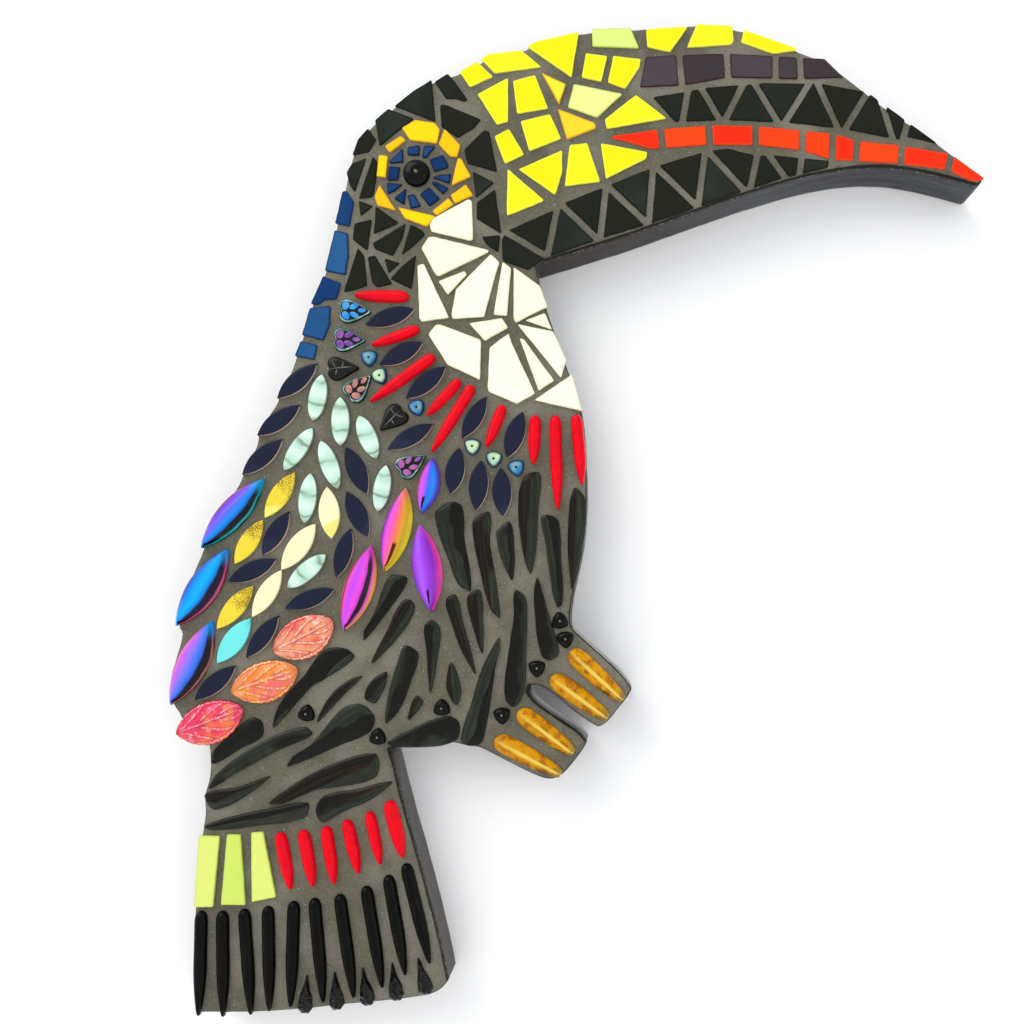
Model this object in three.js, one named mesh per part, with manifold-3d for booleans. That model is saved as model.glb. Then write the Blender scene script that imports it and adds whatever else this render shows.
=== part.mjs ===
// Toucan-shaped wall mosaic: a cut board, a bed of grout, and glass tesserae and beads set in it.
//
// The panel group is laid out as the maker sees it on the bench: x to the right, y up the bird and
// z out of the wall, with the origin on the back of the board. It is then stood upright, so that
// the picture faces -Y and the back of the board lies in the plane Y = 0. All sizes are millimetres.

import * as THREE from 'three';
import { mergeVertices } from 'three/addons/utils/BufferGeometryUtils.js';
import Module from 'manifold-3d';

// ---------------------------------------------------------------- driving dimensions

const BOARD_THICKNESS = 18;
const FIT_GAP = 0.3; // clearance between pieces that touch
const GROUT_THICKNESS = 2.7;
const GROUT_MARGIN = 0.5; // the grout stops this short of the board's edge
const TILE_DEPTH = 1.2; // how deep the flat tesserae are set in the grout
const JOINT = 2.8; // width of the grout joints along the beak
const BED_BACK = BOARD_THICKNESS + FIT_GAP;
const GROUT_FACE = BED_BACK + GROUT_THICKNESS;

// Each kind of flat glass has its own thickness, so this is how far it stands above the grout.
const STAND = {
  black: 0.5,
  purpleGrey: 0.56,
  redOrange: 0.62,
  irisBlue: 0.68,
  napeBlue: 0.74,
  yellow: 0.8,
  paleGreen: 0.86,
  amber: 0.92,
  orange: 0.98,
  white: 1.04,
  navy: 1.1,
  opal: 1.16,
  goldSpeckled: 1.22,
  cream: 1.28,
  cyan: 1.34,
  lime: 1.4,
  shard: 1.46,
  beadCeramic: 1.52,
};

// How far each raised piece stands above the grout.
const JEWEL_HEIGHT = 4;
const LEAF_HEIGHT = 3;
const SPIKE_HEIGHT = 2.8;
const DAGGER_HEIGHT = 2.6;
const TOE_HEIGHT = 3.4;
const BEAD_HEIGHT = 2.2;
const PUPIL_HEIGHT = 3.4;

// How wide a rod or a toe is along its length, each as a share of the length and of the full width.
const ROD_TAPER = [[0.6, 1], [0.74, 0.86], [0.86, 0.62], [0.94, 0.4], [1, 0.14]];
const TOE_TAPER = [[0.34, 1], [0.55, 0.97], [0.78, 0.8], [0.95, 0.6], [1, 0.42]];
const TOE_WIDTH = 7.7;
const DAGGER_WIDTH = 5.1;
const SMALL_BEAD_RADIUS = 3.5;
const PUPIL_RADIUS = 5.3;
const LEAF_BEAD = { length: 12.4, width: 9.6 };
const TAIL_BEAD = { length: 15, width: 6 };

// ---------------------------------------------------------------- layout: the board

// The bird's outline, clockwise from the tip of the beak. Each run is a smooth curve and the runs
// meet at corners.
const OUTLINE = {
  culmen: [[217.5, 104], [210, 111], [194, 123], [178, 133.5], [157, 150], [142, 156.5], [122, 164],
    [103, 166.5], [80, 165], [60, 163.7], [48, 161.3], [32, 156], [17, 152], [8, 147]],
  crown: [[8, 147], [0, 144.7], [-11, 139.7], [-18, 133.7], [-25.8, 127.8], [-32.6, 119.6], [-35.8, 112],
    [-38, 102]],
  nape: [[-38, 102], [-42, 84], [-46, 67.5], [-51.5, 54], [-55, 42], [-58, 33], [-60.5, 26]],
  wingEdge: [[-60.5, 26], [-65, 16.5], [-66, 14], [-70.5, 8], [-73.3, 2], [-73.3, -1], [-76, -7],
    [-79.3, -13.5], [-81, -18], [-84.5, -23], [-91.5, -33], [-95, -43.5], [-97, -48], [-101, -58],
    [-105.3, -73], [-103.7, -77], [-104.3, -81], [-107, -90], [-108.3, -100], [-107.3, -106.5],
    [-105, -109], [-103.5, -113], [-105.3, -117.5], [-102, -121.5], [-97, -122.5], [-93, -121.5]],
  tailLeft: [[-93, -121.5], [-92.3, -129], [-93, -137], [-95, -142.5], [-94.3, -149], [-95.5, -157],
    [-97.5, -175], [-99, -198], [-99.3, -222], [-97, -229.5]],
  tailEnd: [[-97, -229.5], [-76, -229.5], [-56, -228.3], [-38, -226.3], [-20, -224.7], [-6, -222.8],
    [0.5, -220.5], [3, -217]],
  tailRight: [[3, -217], [1.2, -208], [-2.3, -193], [-8, -171], [-14.5, -148], [-19, -130], [-21, -123]],
  belly: [[-21, -123], [-9, -123.3], [0, -121.7], [5, -121], [9.5, -122.5], [15, -122.7]],
  rearFoot: [[15, -122.7], [25, -128], [37, -134], [43, -136.2], [47.7, -135.3], [52.3, -130.5], [58, -123],
    [58.4, -120.3], [56.2, -117.8], [53, -115.3], [48.3, -112.3], [42.3, -108.3], [38, -105], [35.3, -102],
    [34.5, -100]],
  frontFoot: [[34.5, -100], [35.1, -98.3], [37.5, -97.8], [40.3, -98.5], [43.7, -100.7], [48, -103.9],
    [51.3, -107], [55.3, -110.1], [59.3, -112.8], [63.3, -115.2], [67, -113.2], [71, -108], [76.3, -101.5],
    [76, -98], [70, -91], [60, -82], [52.7, -75.5]],
  breast: [[52.7, -75.5], [51.8, -72], [53, -62], [57, -44], [58.8, -24], [58.3, -8], [57.2, 10], [53.5, 22],
    [49, 34], [43.5, 50], [40, 61], [38.3, 71.3]],
  gape: [[38.3, 71.3], [45, 73.3], [53, 75.7], [62, 78.5], [72, 81.6], [82.5, 85.3], [93, 89], [103.5, 92.7],
    [118, 97.8], [131, 101.9], [143, 105.4], [155, 108], [168, 109.8], [182, 109.8], [193, 108.2],
    [202.5, 106]],
  beakTip: [[202.5, 106], [209, 104.4], [215.5, 102.5], [217.5, 104]],
};

// ---------------------------------------------------------------- layout: the beak

// A band of tiles lies between two edges, given from left to right, and is parted by joints, each given
// by where it meets the upper and the lower edge.
const BEAK_BANDS = {
  greySquares: {
    kind: 'purpleGrey',
    upper: [[82, 153], [112, 154.4], [133, 153.3], [155, 152], [162, 146]],
    lower: [[79, 141], [96, 141.6], [115, 145], [146, 144.3], [162, 145]],
    joints: [[81, 78.6], [95.6, 96.8], [114.6, 115.2], [134.2, 134.2], [143.8, 144.3], [162, 163]],
  },
  upperTeeth: {
    kind: 'black',
    upper: [[85, 136.8], [97.6, 138.8], [106, 140.8], [130, 142.4], [152, 142.4], [169, 140.5], [178, 133.5],
      [200, 117.6]],
    lower: [[92, 127.2], [115, 128], [140, 127], [160, 124.8], [180, 120.8], [197, 117.6]],
    joints: [[83.8, 92.2], [99, 97], [104.6, 112], [121, 114], [126, 135], [147.6, 138], [151, 159],
      [171, 162], [176.8, 181], [187, 185], [201.2, 198]],
  },
  emberBand: {
    kind: 'redOrange',
    upper: [[67.6, 121.2], [88, 124], [106, 125.6], [125, 125.5], [144, 123.6], [156, 122.6], [168, 119],
      [184, 117.6], [203, 115], [218, 104]],
    lower: [[67.6, 120.8], [75.5, 119], [84, 116.4], [107, 118], [126, 118], [144, 116], [156, 112],
      [166, 111.6], [184, 110.6], [204, 107.8], [212, 104], [218, 103]],
    joints: [[67.6, 67.6], [88.2, 89.2], [107.4, 108], [126.2, 126.2], [145, 144.8], [157.2, 156.8],
      [166.8, 166.2], [184.8, 184.2], [204.4, 203], [219, 218]],
  },
  lowerTeeth: {
    kind: 'black',
    upper: [[25, 80], [27, 85.3], [45.4, 90.8], [48.4, 94], [64.4, 100.4], [84, 108.4], [103.6, 114.8],
      [115, 116.4], [124, 113.2], [143.2, 114.8], [145.8, 110.6], [155.4, 111.2]],
    lower: [[24, 72], [35.2, 68], [41.4, 72.4], [44.4, 74], [61.6, 79.8], [82.4, 86], [102, 92.9],
      [120, 99.2], [137, 104.8], [155, 109]],
    joints: [[23.6, 23.8], [26.2, 43], [46.8, 42.8], [48.6, 63], [66.4, 64], [67, 83.2], [85.2, 83.4],
      [86.4, 103], [106, 103.2], [107.2, 121.8], [126.8, 124], [131.6, 138], [144.6, 143.8], [156.8, 156.4]],
  },
};

// Nipped pieces at the root and along the crest of the beak, each by its corners.
const BEAK_ROOT = {
  yellow: [
    [[8, 147], [15, 151], [21, 145], [12, 141]],
    [[16.5, 152], [19.5, 154], [32.5, 155.5], [40.5, 149], [22, 146.5]],
    [[35, 157], [38.5, 159], [55.5, 162.8], [52.5, 145]],
    [[15.2, 138], [27.2, 144.4], [27.2, 127.2], [22.8, 126]],
    [[29.4, 143.2], [38, 145.6], [43.2, 132.4], [31, 130.4]],
    [[58.4, 154.4], [66.8, 153.2], [64.4, 143.2], [56.8, 144.8]],
    [[69.4, 153.2], [80.2, 152], [79.6, 148.8], [74, 140.4], [67.2, 142.8]],
    [[78.4, 137.6], [90.4, 128.4], [66.8, 124.4], [66, 128]],
    [[32.4, 127.2], [44, 130], [48.4, 120.4], [35.8, 115.4]],
    [[22, 121.2], [27.6, 124], [33.6, 114], [26, 110.4]],
    [[31.6, 108], [48.8, 115.6], [48.8, 106.8], [46, 98]],
    [[52, 117.6], [58.8, 118.4], [64, 103.2], [50, 101.4]],
    [[64.4, 118.4], [82.8, 114.8], [82.4, 112.4], [66.4, 104.4]],
    [[27.2, 108], [41.6, 95.6], [26.8, 89.6]],
    [[82.5, 164], [99, 165], [92, 155], [83, 157]],
    [[102.8, 166], [116.8, 165.2], [117.2, 159.2], [116.4, 158], [98.8, 156.8]],
    [[121.6, 163.6], [142.4, 156.4], [142, 155.6], [133.2, 154.4], [120.4, 158.8]],
  ],
  paleGreen: [
    [[61, 164], [76, 164.4], [79.5, 156.5], [61, 157.2]],
    [[53.6, 142], [72.8, 138], [62.8, 128.8], [51.2, 132.8]],
  ],
  amber: [
    [[40.8, 146.4], [50.4, 142], [47.6, 134]],
    [[47.2, 132], [62, 126.4], [62.4, 124.4], [50.8, 120]],
  ],
};

// ---------------------------------------------------------------- layout: the head

const HEAD_BLACK = [
  [[-2, 143], [3, 146.4], [5, 144.2], [11, 136], [10, 135.2], [6.4, 136.4], [2.4, 136.4], [0.4, 139.6]],
  [[-3.4, 143.8], [-1.8, 127.2], [-18, 133.4], [-10.8, 139.2]],
  [[-20.8, 132.2], [-10.4, 128.4], [-15, 124.8], [-24, 117.6], [-25.8, 127.6]],
  [[0.2, 134], [2.8, 133.6], [16.4, 128], [13.6, 124.8], [7.2, 120.8], [0.6, 125.2]],
  [[17.6, 123.6], [19.6, 123.2], [22.8, 107.2], [11.2, 110.4], [9.6, 115.8]],
  [[13.2, 107.2], [21.6, 102.8], [14.4, 96.8]],
  [[14.8, 94.8], [22, 100], [24.4, 82.6], [14.8, 88.4]],
  [[16.8, 81.2], [24, 81.6], [23.2, 75.2], [18.8, 78]],
  [[-28.8, 124.4], [-25.6, 120], [-28.2, 115.2], [-34.8, 114], [-32.8, 120]],
  [[-29.6, 112.4], [-34, 99.2], [-36, 102], [-37.2, 106.8], [-35.2, 110.4]],
  [[-26.8, 113.2], [-25.2, 111.2], [-25.6, 104], [-26.8, 97.2], [-32.4, 96.4]],
  [[-32.4, 95.6], [-26.8, 93.4], [-31.6, 89.6]],
  [[-25.6, 93.2], [-16.6, 86.8], [-18, 86], [-26.4, 82.4]],
  [[-34, 86.4], [-27.4, 88], [-29, 75.6], [-34.8, 80.2]],
  [[-13.8, 86.4], [-15, 80.8], [-18.8, 73.6], [-25.6, 76.2], [-26.8, 78.6]],
  [[-11.6, 86], [-6.8, 83.6], [-6, 82], [-9.6, 78.4], [-15.2, 74]],
  [[-32.8, 76.6], [-30.4, 73.6], [-29.2, 61.8], [-35, 59.6], [-38.4, 59.2]],
  [[-28.8, 73], [-26, 73.6], [-19.2, 62.4], [-25.2, 61.2], [-27, 63]],
  [[-22, 72.4], [-16, 70.6], [-20.4, 66.8]],
  [[-9.6, 73.8], [-11.4, 60.4], [-19.6, 64.4], [-15.2, 69.4]],
];

const NAPE_BLUE = [
  [[-38.8, 99.2], [-37.2, 99.4], [-34.4, 95], [-36, 85.4], [-41.8, 86.6], [-40, 94]],
  [[-42, 83.6], [-36.8, 82.4], [-36.5, 73.6], [-37.7, 66], [-45.8, 67.6]],
  [[-46.6, 65.4], [-39.6, 62.4], [-41.4, 56.2], [-46, 56], [-48.6, 54], [-51.4, 54.4]],
  [[-51.8, 52.6], [-43.8, 53.4], [-44, 46], [-46.6, 39.8], [-55, 42]],
  [[-55.6, 39.4], [-49, 37.8], [-50.2, 32], [-57.8, 33.6]],
];

// The eye: the domed pupil, a ring of small chips round it, clockwise from the top, and an outer ring
// of nipped glass.
const PUPIL = [-9.3, 106.4];
const IRIS_BLUE = [
  [[-12.7, 117], [-8.2, 117.5], [-8.2, 113.7], [-12.9, 113.9]],
  [[-6.4, 117.5], [-1.8, 117.2], [-5.4, 112.7], [-7, 112.9]],
  [[-4, 111.9], [1.3, 113.8], [3.5, 109], [-2.2, 107]],
  [[-2.8, 104.8], [-0.2, 105.9], [4.4, 106.3], [3.7, 102.5]],
  [[-3.4, 102.9], [-1.8, 103.2], [3.4, 100.5], [1.2, 98.2]],
  [[-4.3, 100.9], [0, 96.4], [-4.1, 93.4], [-8, 98.1]],
  [[-12.8, 97.6], [-10.3, 98], [-7.6, 93.4], [-11.6, 92.4]],
  [[-13.5, 100.4], [-14.2, 93.9], [-18.3, 96.5]],
  [[-21.1, 102.7], [-15, 102], [-18.3, 99.4], [-20.8, 98.2]],
  [[-20.2, 109.1], [-16, 108.9], [-16.8, 103.7], [-20.9, 103.7]],
  [[-14.9, 116.3], [-14.7, 110.9], [-19.9, 110.5], [-19.9, 111.5]],
];
const EYE_RING = {
  yellow: [
    [[-15, 124.4], [-9.6, 127.6], [-2, 126.4], [0, 124], [-1.2, 118.4], [-11.8, 119.6]],
    [[2, 124], [8.2, 117.6], [6.8, 113], [4, 113.2], [-0.4, 118]],
    [[-24, 101.6], [-17.6, 91.6], [-24.8, 93.6], [-26, 97.2]],
    [[7.2, 112.4], [8.4, 112.4], [12.4, 105.2], [4.8, 101.6]],
  ],
  orange: [
    [[4.4, 97.6], [10.4, 101.8], [13.2, 97.6], [6, 94.4]],
    [[-2.8, 91.2], [3.4, 96.4], [5.6, 94], [-1.2, 89.6]],
    [[-16.6, 92.8], [-1.8, 89.2], [-5.2, 85.2], [-14, 88.4]],
    [[-24.2, 113.6], [-20.8, 113.2], [-21.6, 104.8], [-25.2, 105.2]],
    [[-21.8, 117.2], [-15.6, 121.2], [-13.6, 119.6], [-20, 114.8]],
  ],
};

// ---------------------------------------------------------------- layout: the breast

const CHEST_WHITE = [
  [[-4, 86], [-2.4, 88.4], [11.6, 96], [12.8, 95.2], [13.2, 80], [11.6, 79.6], [-3.2, 83.2]],
  [[-7.2, 76.4], [-4.4, 80.8], [-2, 80.8], [19.6, 75.6], [19.2, 74.8], [-0.4, 65.4], [-1.6, 66]],
  [[-8.8, 69.6], [-6.4, 70.2], [3.6, 48.8], [-7.2, 47.2], [-8, 48.4]],
  [[-0.4, 63.2], [9.8, 67.2], [10.8, 66], [3.2, 58]],
  [[20.4, 74], [23.6, 70.8], [17.6, 49.2], [5.2, 48.4], [4.8, 50], [6.6, 60]],
  [[25.2, 70.8], [28.4, 68.4], [26.8, 49.6], [21.6, 50], [23.2, 59.6]],
  [[29.6, 68.8], [40, 61.2], [42.8, 53.2], [30.4, 46.8], [29.6, 48.4]],
  [[34.4, 47.6], [42, 50.4], [44.8, 44]],
  [[31.2, 46], [45.2, 43.2], [50.4, 32], [48.4, 24.8]],
  [[32, 40.4], [33.6, 40], [45.6, 23.6], [39.6, 19.6]],
  [[12, 46.4], [24.8, 48.4], [27.2, 44.8], [18, 39.6]],
  [[-4.4, 42], [-1.6, 45.6], [0, 46], [16, 40], [16.4, 38.8], [16, 24], [3.2, 30]],
  [[27.6, 42.4], [28.6, 38.8], [38, 18.4], [30.8, 14.4], [19.6, 19.2], [19.2, 21.2], [20, 36.8]],
  [[38, 15.8], [52.8, 26], [56.8, 11.6]],
];

// Black shards, nipped from sheet: round at one end and drawn out at the other.
const SHARDS = [
  [[-2, -30], [1, -26.4], [5.5, -24.8], [9, -27], [9.8, -40], [12.4, -60], [7.6, -58], [3.5, -48]],
  [[13, -34], [15, -30.5], [20, -29], [20, -42], [24, -70.6], [20.5, -68], [16, -52]],
  [[22.5, -38], [24.5, -34.5], [28, -33], [29.6, -40], [29, -56], [25.5, -50]],
  [[31.3, -24], [33, -16], [36, -13.2], [40, -13.6], [39.3, -27], [38.4, -45], [36.2, -53.6], [33, -44]],
  [[40.7, -30.6], [45, -30.4], [47.6, -33], [48.3, -48], [49, -65.4], [46.8, -66.8], [44, -54], [42, -40]],
  [[53.6, -19.4], [57.4, -22], [58.4, -26], [57.6, -40], [53.2, -60], [51.5, -50], [51.3, -34]],
  [[2.5, -64], [6.4, -61.9], [9, -72], [14.3, -93.4], [9, -85], [4.6, -73]],
  [[11, -62.8], [16, -60], [17.2, -72], [17, -85.4], [13, -74]],
  [[30, -60.2], [33.4, -61.8], [34.8, -66], [34.4, -85], [33.6, -101], [29.5, -106.8], [26, -103],
    [27.3, -86], [29.6, -70]],
  [[39, -54.8], [41, -61], [44.4, -73], [47.6, -85], [44, -88.2], [40.6, -86], [38, -70], [37.7, -60]],
  [[23.8, -79], [22, -92], [18.4, -115], [16, -121.6], [10.6, -122], [8.4, -119.6], [12.4, -106], [17, -91]],
  [[-3.4, -72], [0, -75.4], [-0.8, -86], [-3.8, -101], [-5.3, -84], [-6.3, -75]],
  [[-14, -82.2], [-8.6, -85.6], [-11.5, -96], [-16, -107.6], [-21.6, -113.2], [-20.6, -102], [-16.6, -88]],
  [[-15, -64.4], [-11.4, -64.2], [-10, -68], [-17.5, -80], [-27.4, -89.4], [-20.5, -75]],
  [[-20, -54.5], [-13, -55.5], [-19, -66], [-30.6, -80.2], [-25, -66]],
  [[4.6, -89], [8.5, -100], [6.6, -106], [2.6, -99]],
  [[-21, -93], [-25.5, -105], [-30, -103.2], [-27, -96]],
  [[-46, -84], [-38, -83.4], [-34.2, -86.6], [-41, -92.4], [-52, -99.4], [-66.3, -115], [-64.5, -106.5],
    [-54, -94]],
  [[-31, -94.4], [-38.5, -102], [-49, -113], [-45, -104], [-37, -96.4]],
  [[-9.6, -102.4], [-6.6, -105], [-12.8, -112]],
  [[-39, -107.4], [-31.4, -105.8], [-26, -111], [-28.5, -117], [-40, -122], [-61.2, -130.6], [-50, -120.4]],
  [[-54.5, -114.8], [-51, -117.6], [-64, -123.8], [-82, -133.6], [-92.4, -139.6], [-89, -133.4],
    [-72, -121.4]],
  [[-75.4, -111], [-71.4, -112.4], [-71, -118.4], [-80, -123.6], [-90.8, -129.6], [-91, -125], [-84, -118.4]],
  [[-30, -125.6], [-25, -126.2], [-25.4, -134.4], [-34, -137.6], [-50, -140], [-68.4, -145.4], [-54, -135],
    [-41, -129]],
  [[-46, -142.2], [-34, -139.8], [-19, -136.6], [-28, -144], [-38, -148.2], [-47, -152.8], [-49.6, -147.6]],
  [[-94, -142.4], [-92, -140.6], [-80, -138.6], [-68, -134.4], [-77, -142], [-90, -147.8]],
  [[-52.6, -145.2], [-54.4, -151], [-72, -154], [-90, -156], [-94.2, -154.6], [-84, -150.8], [-66, -147]],
  [[3, -110.4], [7.6, -113], [6.6, -120], [-6, -122.8], [-20.8, -121.6], [-12, -116]],
];

// Petals from tip to tip, with their width.
const PETALS = {
  navy: [
    [-48.8, 30.4, -64.8, 16.4, 7.4], [-55.6, 13.8, -72.8, 1.6, 7.4], [-62.6, 0.2, -78.8, -14, 7.4],
    [-10, 52, -29.6, 46, 7.4], [-6.6, 38.8, -24, 30, 7.4], [2.6, 29.2, -13.4, 16.4, 7.4],
    [-2.4, 6.2, -20.8, -4, 7.2], [18.8, 17.2, 9, 0.4, 7], [-37.4, -2.8, -28.8, -21.8, 7.7],
    [-37.2, -20.6, -28.4, -39, 7.7], [-35.6, -35.4, -41.2, -55.2, 7], [7.8, -3.2, 4.6, -21.8, 7.8],
    [16.6, -8.2, 14.6, -28.4, 7.8], [24.4, -11.2, 25.4, -30.8, 7.8], [33.2, 11.2, 27, -7.4, 7.8],
    [-60, -28.6, -70.8, -46.2, 7.4], [-65, -47.8, -84.4, -56.6, 7.4], [-42, -59.8, -61.8, -67.4, 7.2],
    [-64.2, -70.2, -77.2, -87.2, 7], [-81.2, -90.2, -97.8, -104, 7.2],
  ],
  opal: [
    [-46.8, 26.4, -50.6, 7, 7.6], [-39.6, 17.4, -39.6, -3, 7.8], [-32.4, 10, -25, -8, 7.8],
    [-50.4, 5, -62.4, -12.6, 7.2], [-47.6, 0, -40.4, -20, 7.6], [-51.4, -13, -54, -33.8, 7.6],
    [-21.2, -9.8, -24.8, -29.2, 7.2], [-45.1, -45.6, -61, -59.4, 7.6],
  ],
  goldSpeckled: [
    [-57.8, -13, -69.8, -31.2, 7.6], [-70.6, -32, -81.8, -49.6, 7.4], [-74.5, -58.2, -89, -75.6, 7.6],
  ],
  cream: [
    [-45, -18.8, -43.2, -39.6, 8.4], [-49.6, -33.6, -63.2, -52, 8.4], [-63.1, -52, -74.8, -70.8, 7.4],
  ],
  cyan: [[-75.4, -71.3, -88.8, -89.2, 8.4]],
};

const LIME_STRIPS = [
  [[-96, -158], [-87.8, -158.2], [-90.4, -186.4], [-97.8, -186.4]],
  [[-84.6, -157.6], [-79.4, -157.6], [-77.6, -185.6], [-87.2, -185.6]],
  [[-75, -156.8], [-70.4, -156.6], [-65.4, -182.4], [-74.8, -184.4]],
];

// Small triangular beads with rounded corners: centre and heading.
const CERAMIC_BEADS = [
  [-28.2, 32.8, -90], [-24, 25.6, -65], [-9.2, 13, -70], [13, -2.6, -90], [21.6, -7.6, -95], [30.6, -11, -75],
];
const BLACK_BEADS = [
  [48, -72.4, 100], [50.2, -79.6, -85], [38.8, -91.2, -90], [24.8, -110, -85], [0.8, -107.2, 90],
  [-53.2, -109.4, 80], [-24.8, -118.8, 85],
];

// ---------------------------------------------------------------- layout: the raised pieces

// Domed jewels: from tip to tip, with how far they swell to the left and to the right of that heading.
const JEWELS = [
  [-70, -15.6, -95.2, -43.4, 5.6, 5.8], [-84.5, -43.5, -105.2, -74.4, 6.8, 5.7],
  [-90.5, -72.3, -107.4, -106, 6.6, 6], [-27.1, -42.1, -38.4, -76.5, 6.5, 5.5],
  [-13.4, -19, -22.1, -53, 6.2, 4.8], [-2.6, -7.2, -7.3, -29.6, 4.9, 3.8], [-8, -33.6, -3.2, -69, 6.5, 5.3],
];

// Crystal leaves: stem tip, far tip, and the swell to the left and to the right.
const CRYSTAL_LEAVES = [
  [-66.4, -84.6, -42.4, -72.3, 7.6, 9], [-83.2, -100.6, -56.5, -91.5, 7.4, 8.9],
  [-105, -117.4, -78.5, -107.2, 7.6, 9.2],
];

// Leaf beads: blunt end's middle and heading of the tip.
const LEAF_BEADS = [
  [-40, 51.4, -2], [-42.2, 40, -2], [-44.8, 28.3, 2], [-36.6, 16.8, 44], [-14.6, 12.3, 223], [-16.4, -13, 32],
];
const TAIL_BEADS = [
  [-54, -229, 86.5], [-41, -227.6, 94], [-28.5, -225.9, 99], [-17, -224, 98], [-5.1, -221.7, 104],
];

// Red spikes and black daggers: head, tip and width at the head.
const BREAST_SPIKES = [
  [-11.8, 57, -34, 57.6, 4.8], [-7.7, 44.6, -27.1, 37.6, 4.2], [-1.7, 33.9, -27.8, 15.1, 4.5],
  [8.5, 24.2, -5.1, 9.6, 4.2], [13.5, 22.1, -3.2, -5, 4.5], [25.6, 14.3, 18.8, -3, 4.5],
  [38.2, 10.3, 37.4, -10, 4.9], [46, 10.3, 47.2, -28, 4.8], [54.4, 10.6, 57, -18, 4.8],
];
const TAIL_SPIKES = [
  [-64, -156.2, -59.4, -179.6, 5], [-54.8, -155.2, -50.4, -178.4, 5.1], [-45.6, -153.8, -42, -177.4, 4.9],
  [-37.4, -151.2, -32.4, -173.2, 4.9], [-28.4, -148, -23.6, -169.6, 4.5], [-20.4, -143.7, -14.7, -166.8, 5.7],
];
const TAIL_DAGGERS = [
  [-95.2, -187.6, -96.2, -230], [-86.8, -187.6, -86.4, -230.4], [-78.2, -186.8, -75.3, -229.6],
  [-68.6, -185.6, -67.9, -228.2], [-58.2, -183.7, -59.5, -226.8], [-50.2, -182.5, -46.4, -224.9],
  [-40.2, -180.9, -34.2, -222.9], [-29.6, -177.7, -22.8, -218.9], [-20.8, -173.3, -13.6, -213.9],
  [-13.8, -168.7, -3.9, -209.2],
];
const TOES = [
  [51.8, -84.1, 73.2, -103.8], [44.2, -94.4, 67.1, -111.1], [31, -108.1, 53.5, -125.2],
  [21.6, -119.2, 48.5, -133.6],
];

// ---------------------------------------------------------------- materials

const FINISH = {
  board: { color: 0x3d3a38, roughness: 0.8, metalness: 0 },
  grout: { color: 0x656057, roughness: 0.9, metalness: 0 },
  jewel: { color: 0x8a4fe0, roughness: 0.08, metalness: 0.5 },
  crystal: { color: 0xff5f5a, roughness: 0.15, metalness: 0 },
  leafBead: { color: 0x3a6a80, roughness: 0.3, metalness: 0.5 },
  coral: { color: 0xe6202e, roughness: 0.25, metalness: 0 },
  jet: { color: 0x16181a, roughness: 0.12, metalness: 0 },
  amber: { color: 0xf5a000, roughness: 0.12, metalness: 0 },
};

// One material for each piece, in the named finish.
function finish(name) {
  return new THREE.MeshStandardMaterial(FINISH[name]);
}

// ---------------------------------------------------------------- outlines

const wasm = await Module();
wasm.setup();

function vectors(pairs) {
  return pairs.map(([x, y]) => new THREE.Vector2(x, y));
}

// The same outline, turned anticlockwise so that solids built on it face outwards.
function anticlockwise(outline) {
  return THREE.ShapeUtils.isClockWise(outline) ? outline.slice().reverse() : outline;
}

// One run of the board's outline as a smooth curve, without its last point.
function run(pairs, stepsPerSpan) {
  const curve = new THREE.SplineCurve(vectors(pairs));
  return curve.getPoints((pairs.length - 1) * stepsPerSpan).slice(0, -1);
}

function boardOutline() {
  return anticlockwise(Object.values(OUTLINE).flatMap((pairs) => run(pairs, 2)));
}

// The outline moved inwards by a small margin, corner by corner.
function inset(outline, margin) {
  return outline.map((corner, i) => {
    const before = outline.at(i - 1);
    const after = outline[(i + 1) % outline.length];
    const along = after.clone().sub(before).normalize();
    return new THREE.Vector2(corner.x - along.y * margin, corner.y + along.x * margin);
  });
}

// The part of a convex outline on the left of the line from start to end, moved left by a margin.
function trim(outline, start, end, margin) {
  const along = end.clone().sub(start).normalize();
  const side = (p) => along.x * (p.y - start.y) - along.y * (p.x - start.x) - margin;
  return outline.flatMap((corner, i) => {
    const next = outline[(i + 1) % outline.length];
    const here = side(corner);
    const there = side(next);
    const kept = here >= 0 ? [corner] : [];
    return here * there < 0 ? [...kept, corner.clone().lerp(next, here / (here - there))] : kept;
  });
}

// Where an edge given from left to right stands at x, with a straight line beyond its ends.
function heightAt(edge, x) {
  let i = edge.findIndex(([knot]) => knot > x);
  i = i < 0 ? edge.length - 1 : Math.max(i, 1);
  const [x0, y0] = edge[i - 1];
  const [x1, y1] = edge[i];
  return y0 + ((y1 - y0) * (x - x0)) / (x1 - x0);
}

// The stretch of an edge between two places, with the knots that lie well inside it.
function stretch(edge, from, to) {
  const inner = edge.filter(([x]) => x > from + JOINT && x < to - JOINT);
  return vectors([[from, heightAt(edge, from)], ...inner, [to, heightAt(edge, to)]]);
}

// The tiles of one band: what lies between its edges and its joints.
function bandTiles({ upper, lower, joints }) {
  return joints.slice(1).map(([upperRight, lowerRight], i) => {
    const [upperLeft, lowerLeft] = joints[i];
    const floor = stretch(lower, lowerLeft, lowerRight);
    const roof = stretch(upper, upperLeft, upperRight);
    const cell = [...floor, ...roof.slice().reverse()];
    const rightSide = trim(cell, floor.at(-1), roof.at(-1), JOINT / 2);
    return trim(rightSide, roof[0], floor[0], JOINT / 2);
  });
}

// Half of a petal along +x from tip to tip: an arc that swells to one side.
function petalSide(length, swell, segments) {
  const radius = (length * length) / 8 / swell + swell / 2;
  const half = Math.asin(length / 2 / radius);
  return Array.from({ length: segments }, (_, i) => {
    const angle = half - (2 * half * i) / segments;
    const out = radius * Math.cos(angle) - radius + swell;
    return new THREE.Vector2(length / 2 - radius * Math.sin(angle), out);
  });
}

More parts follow.
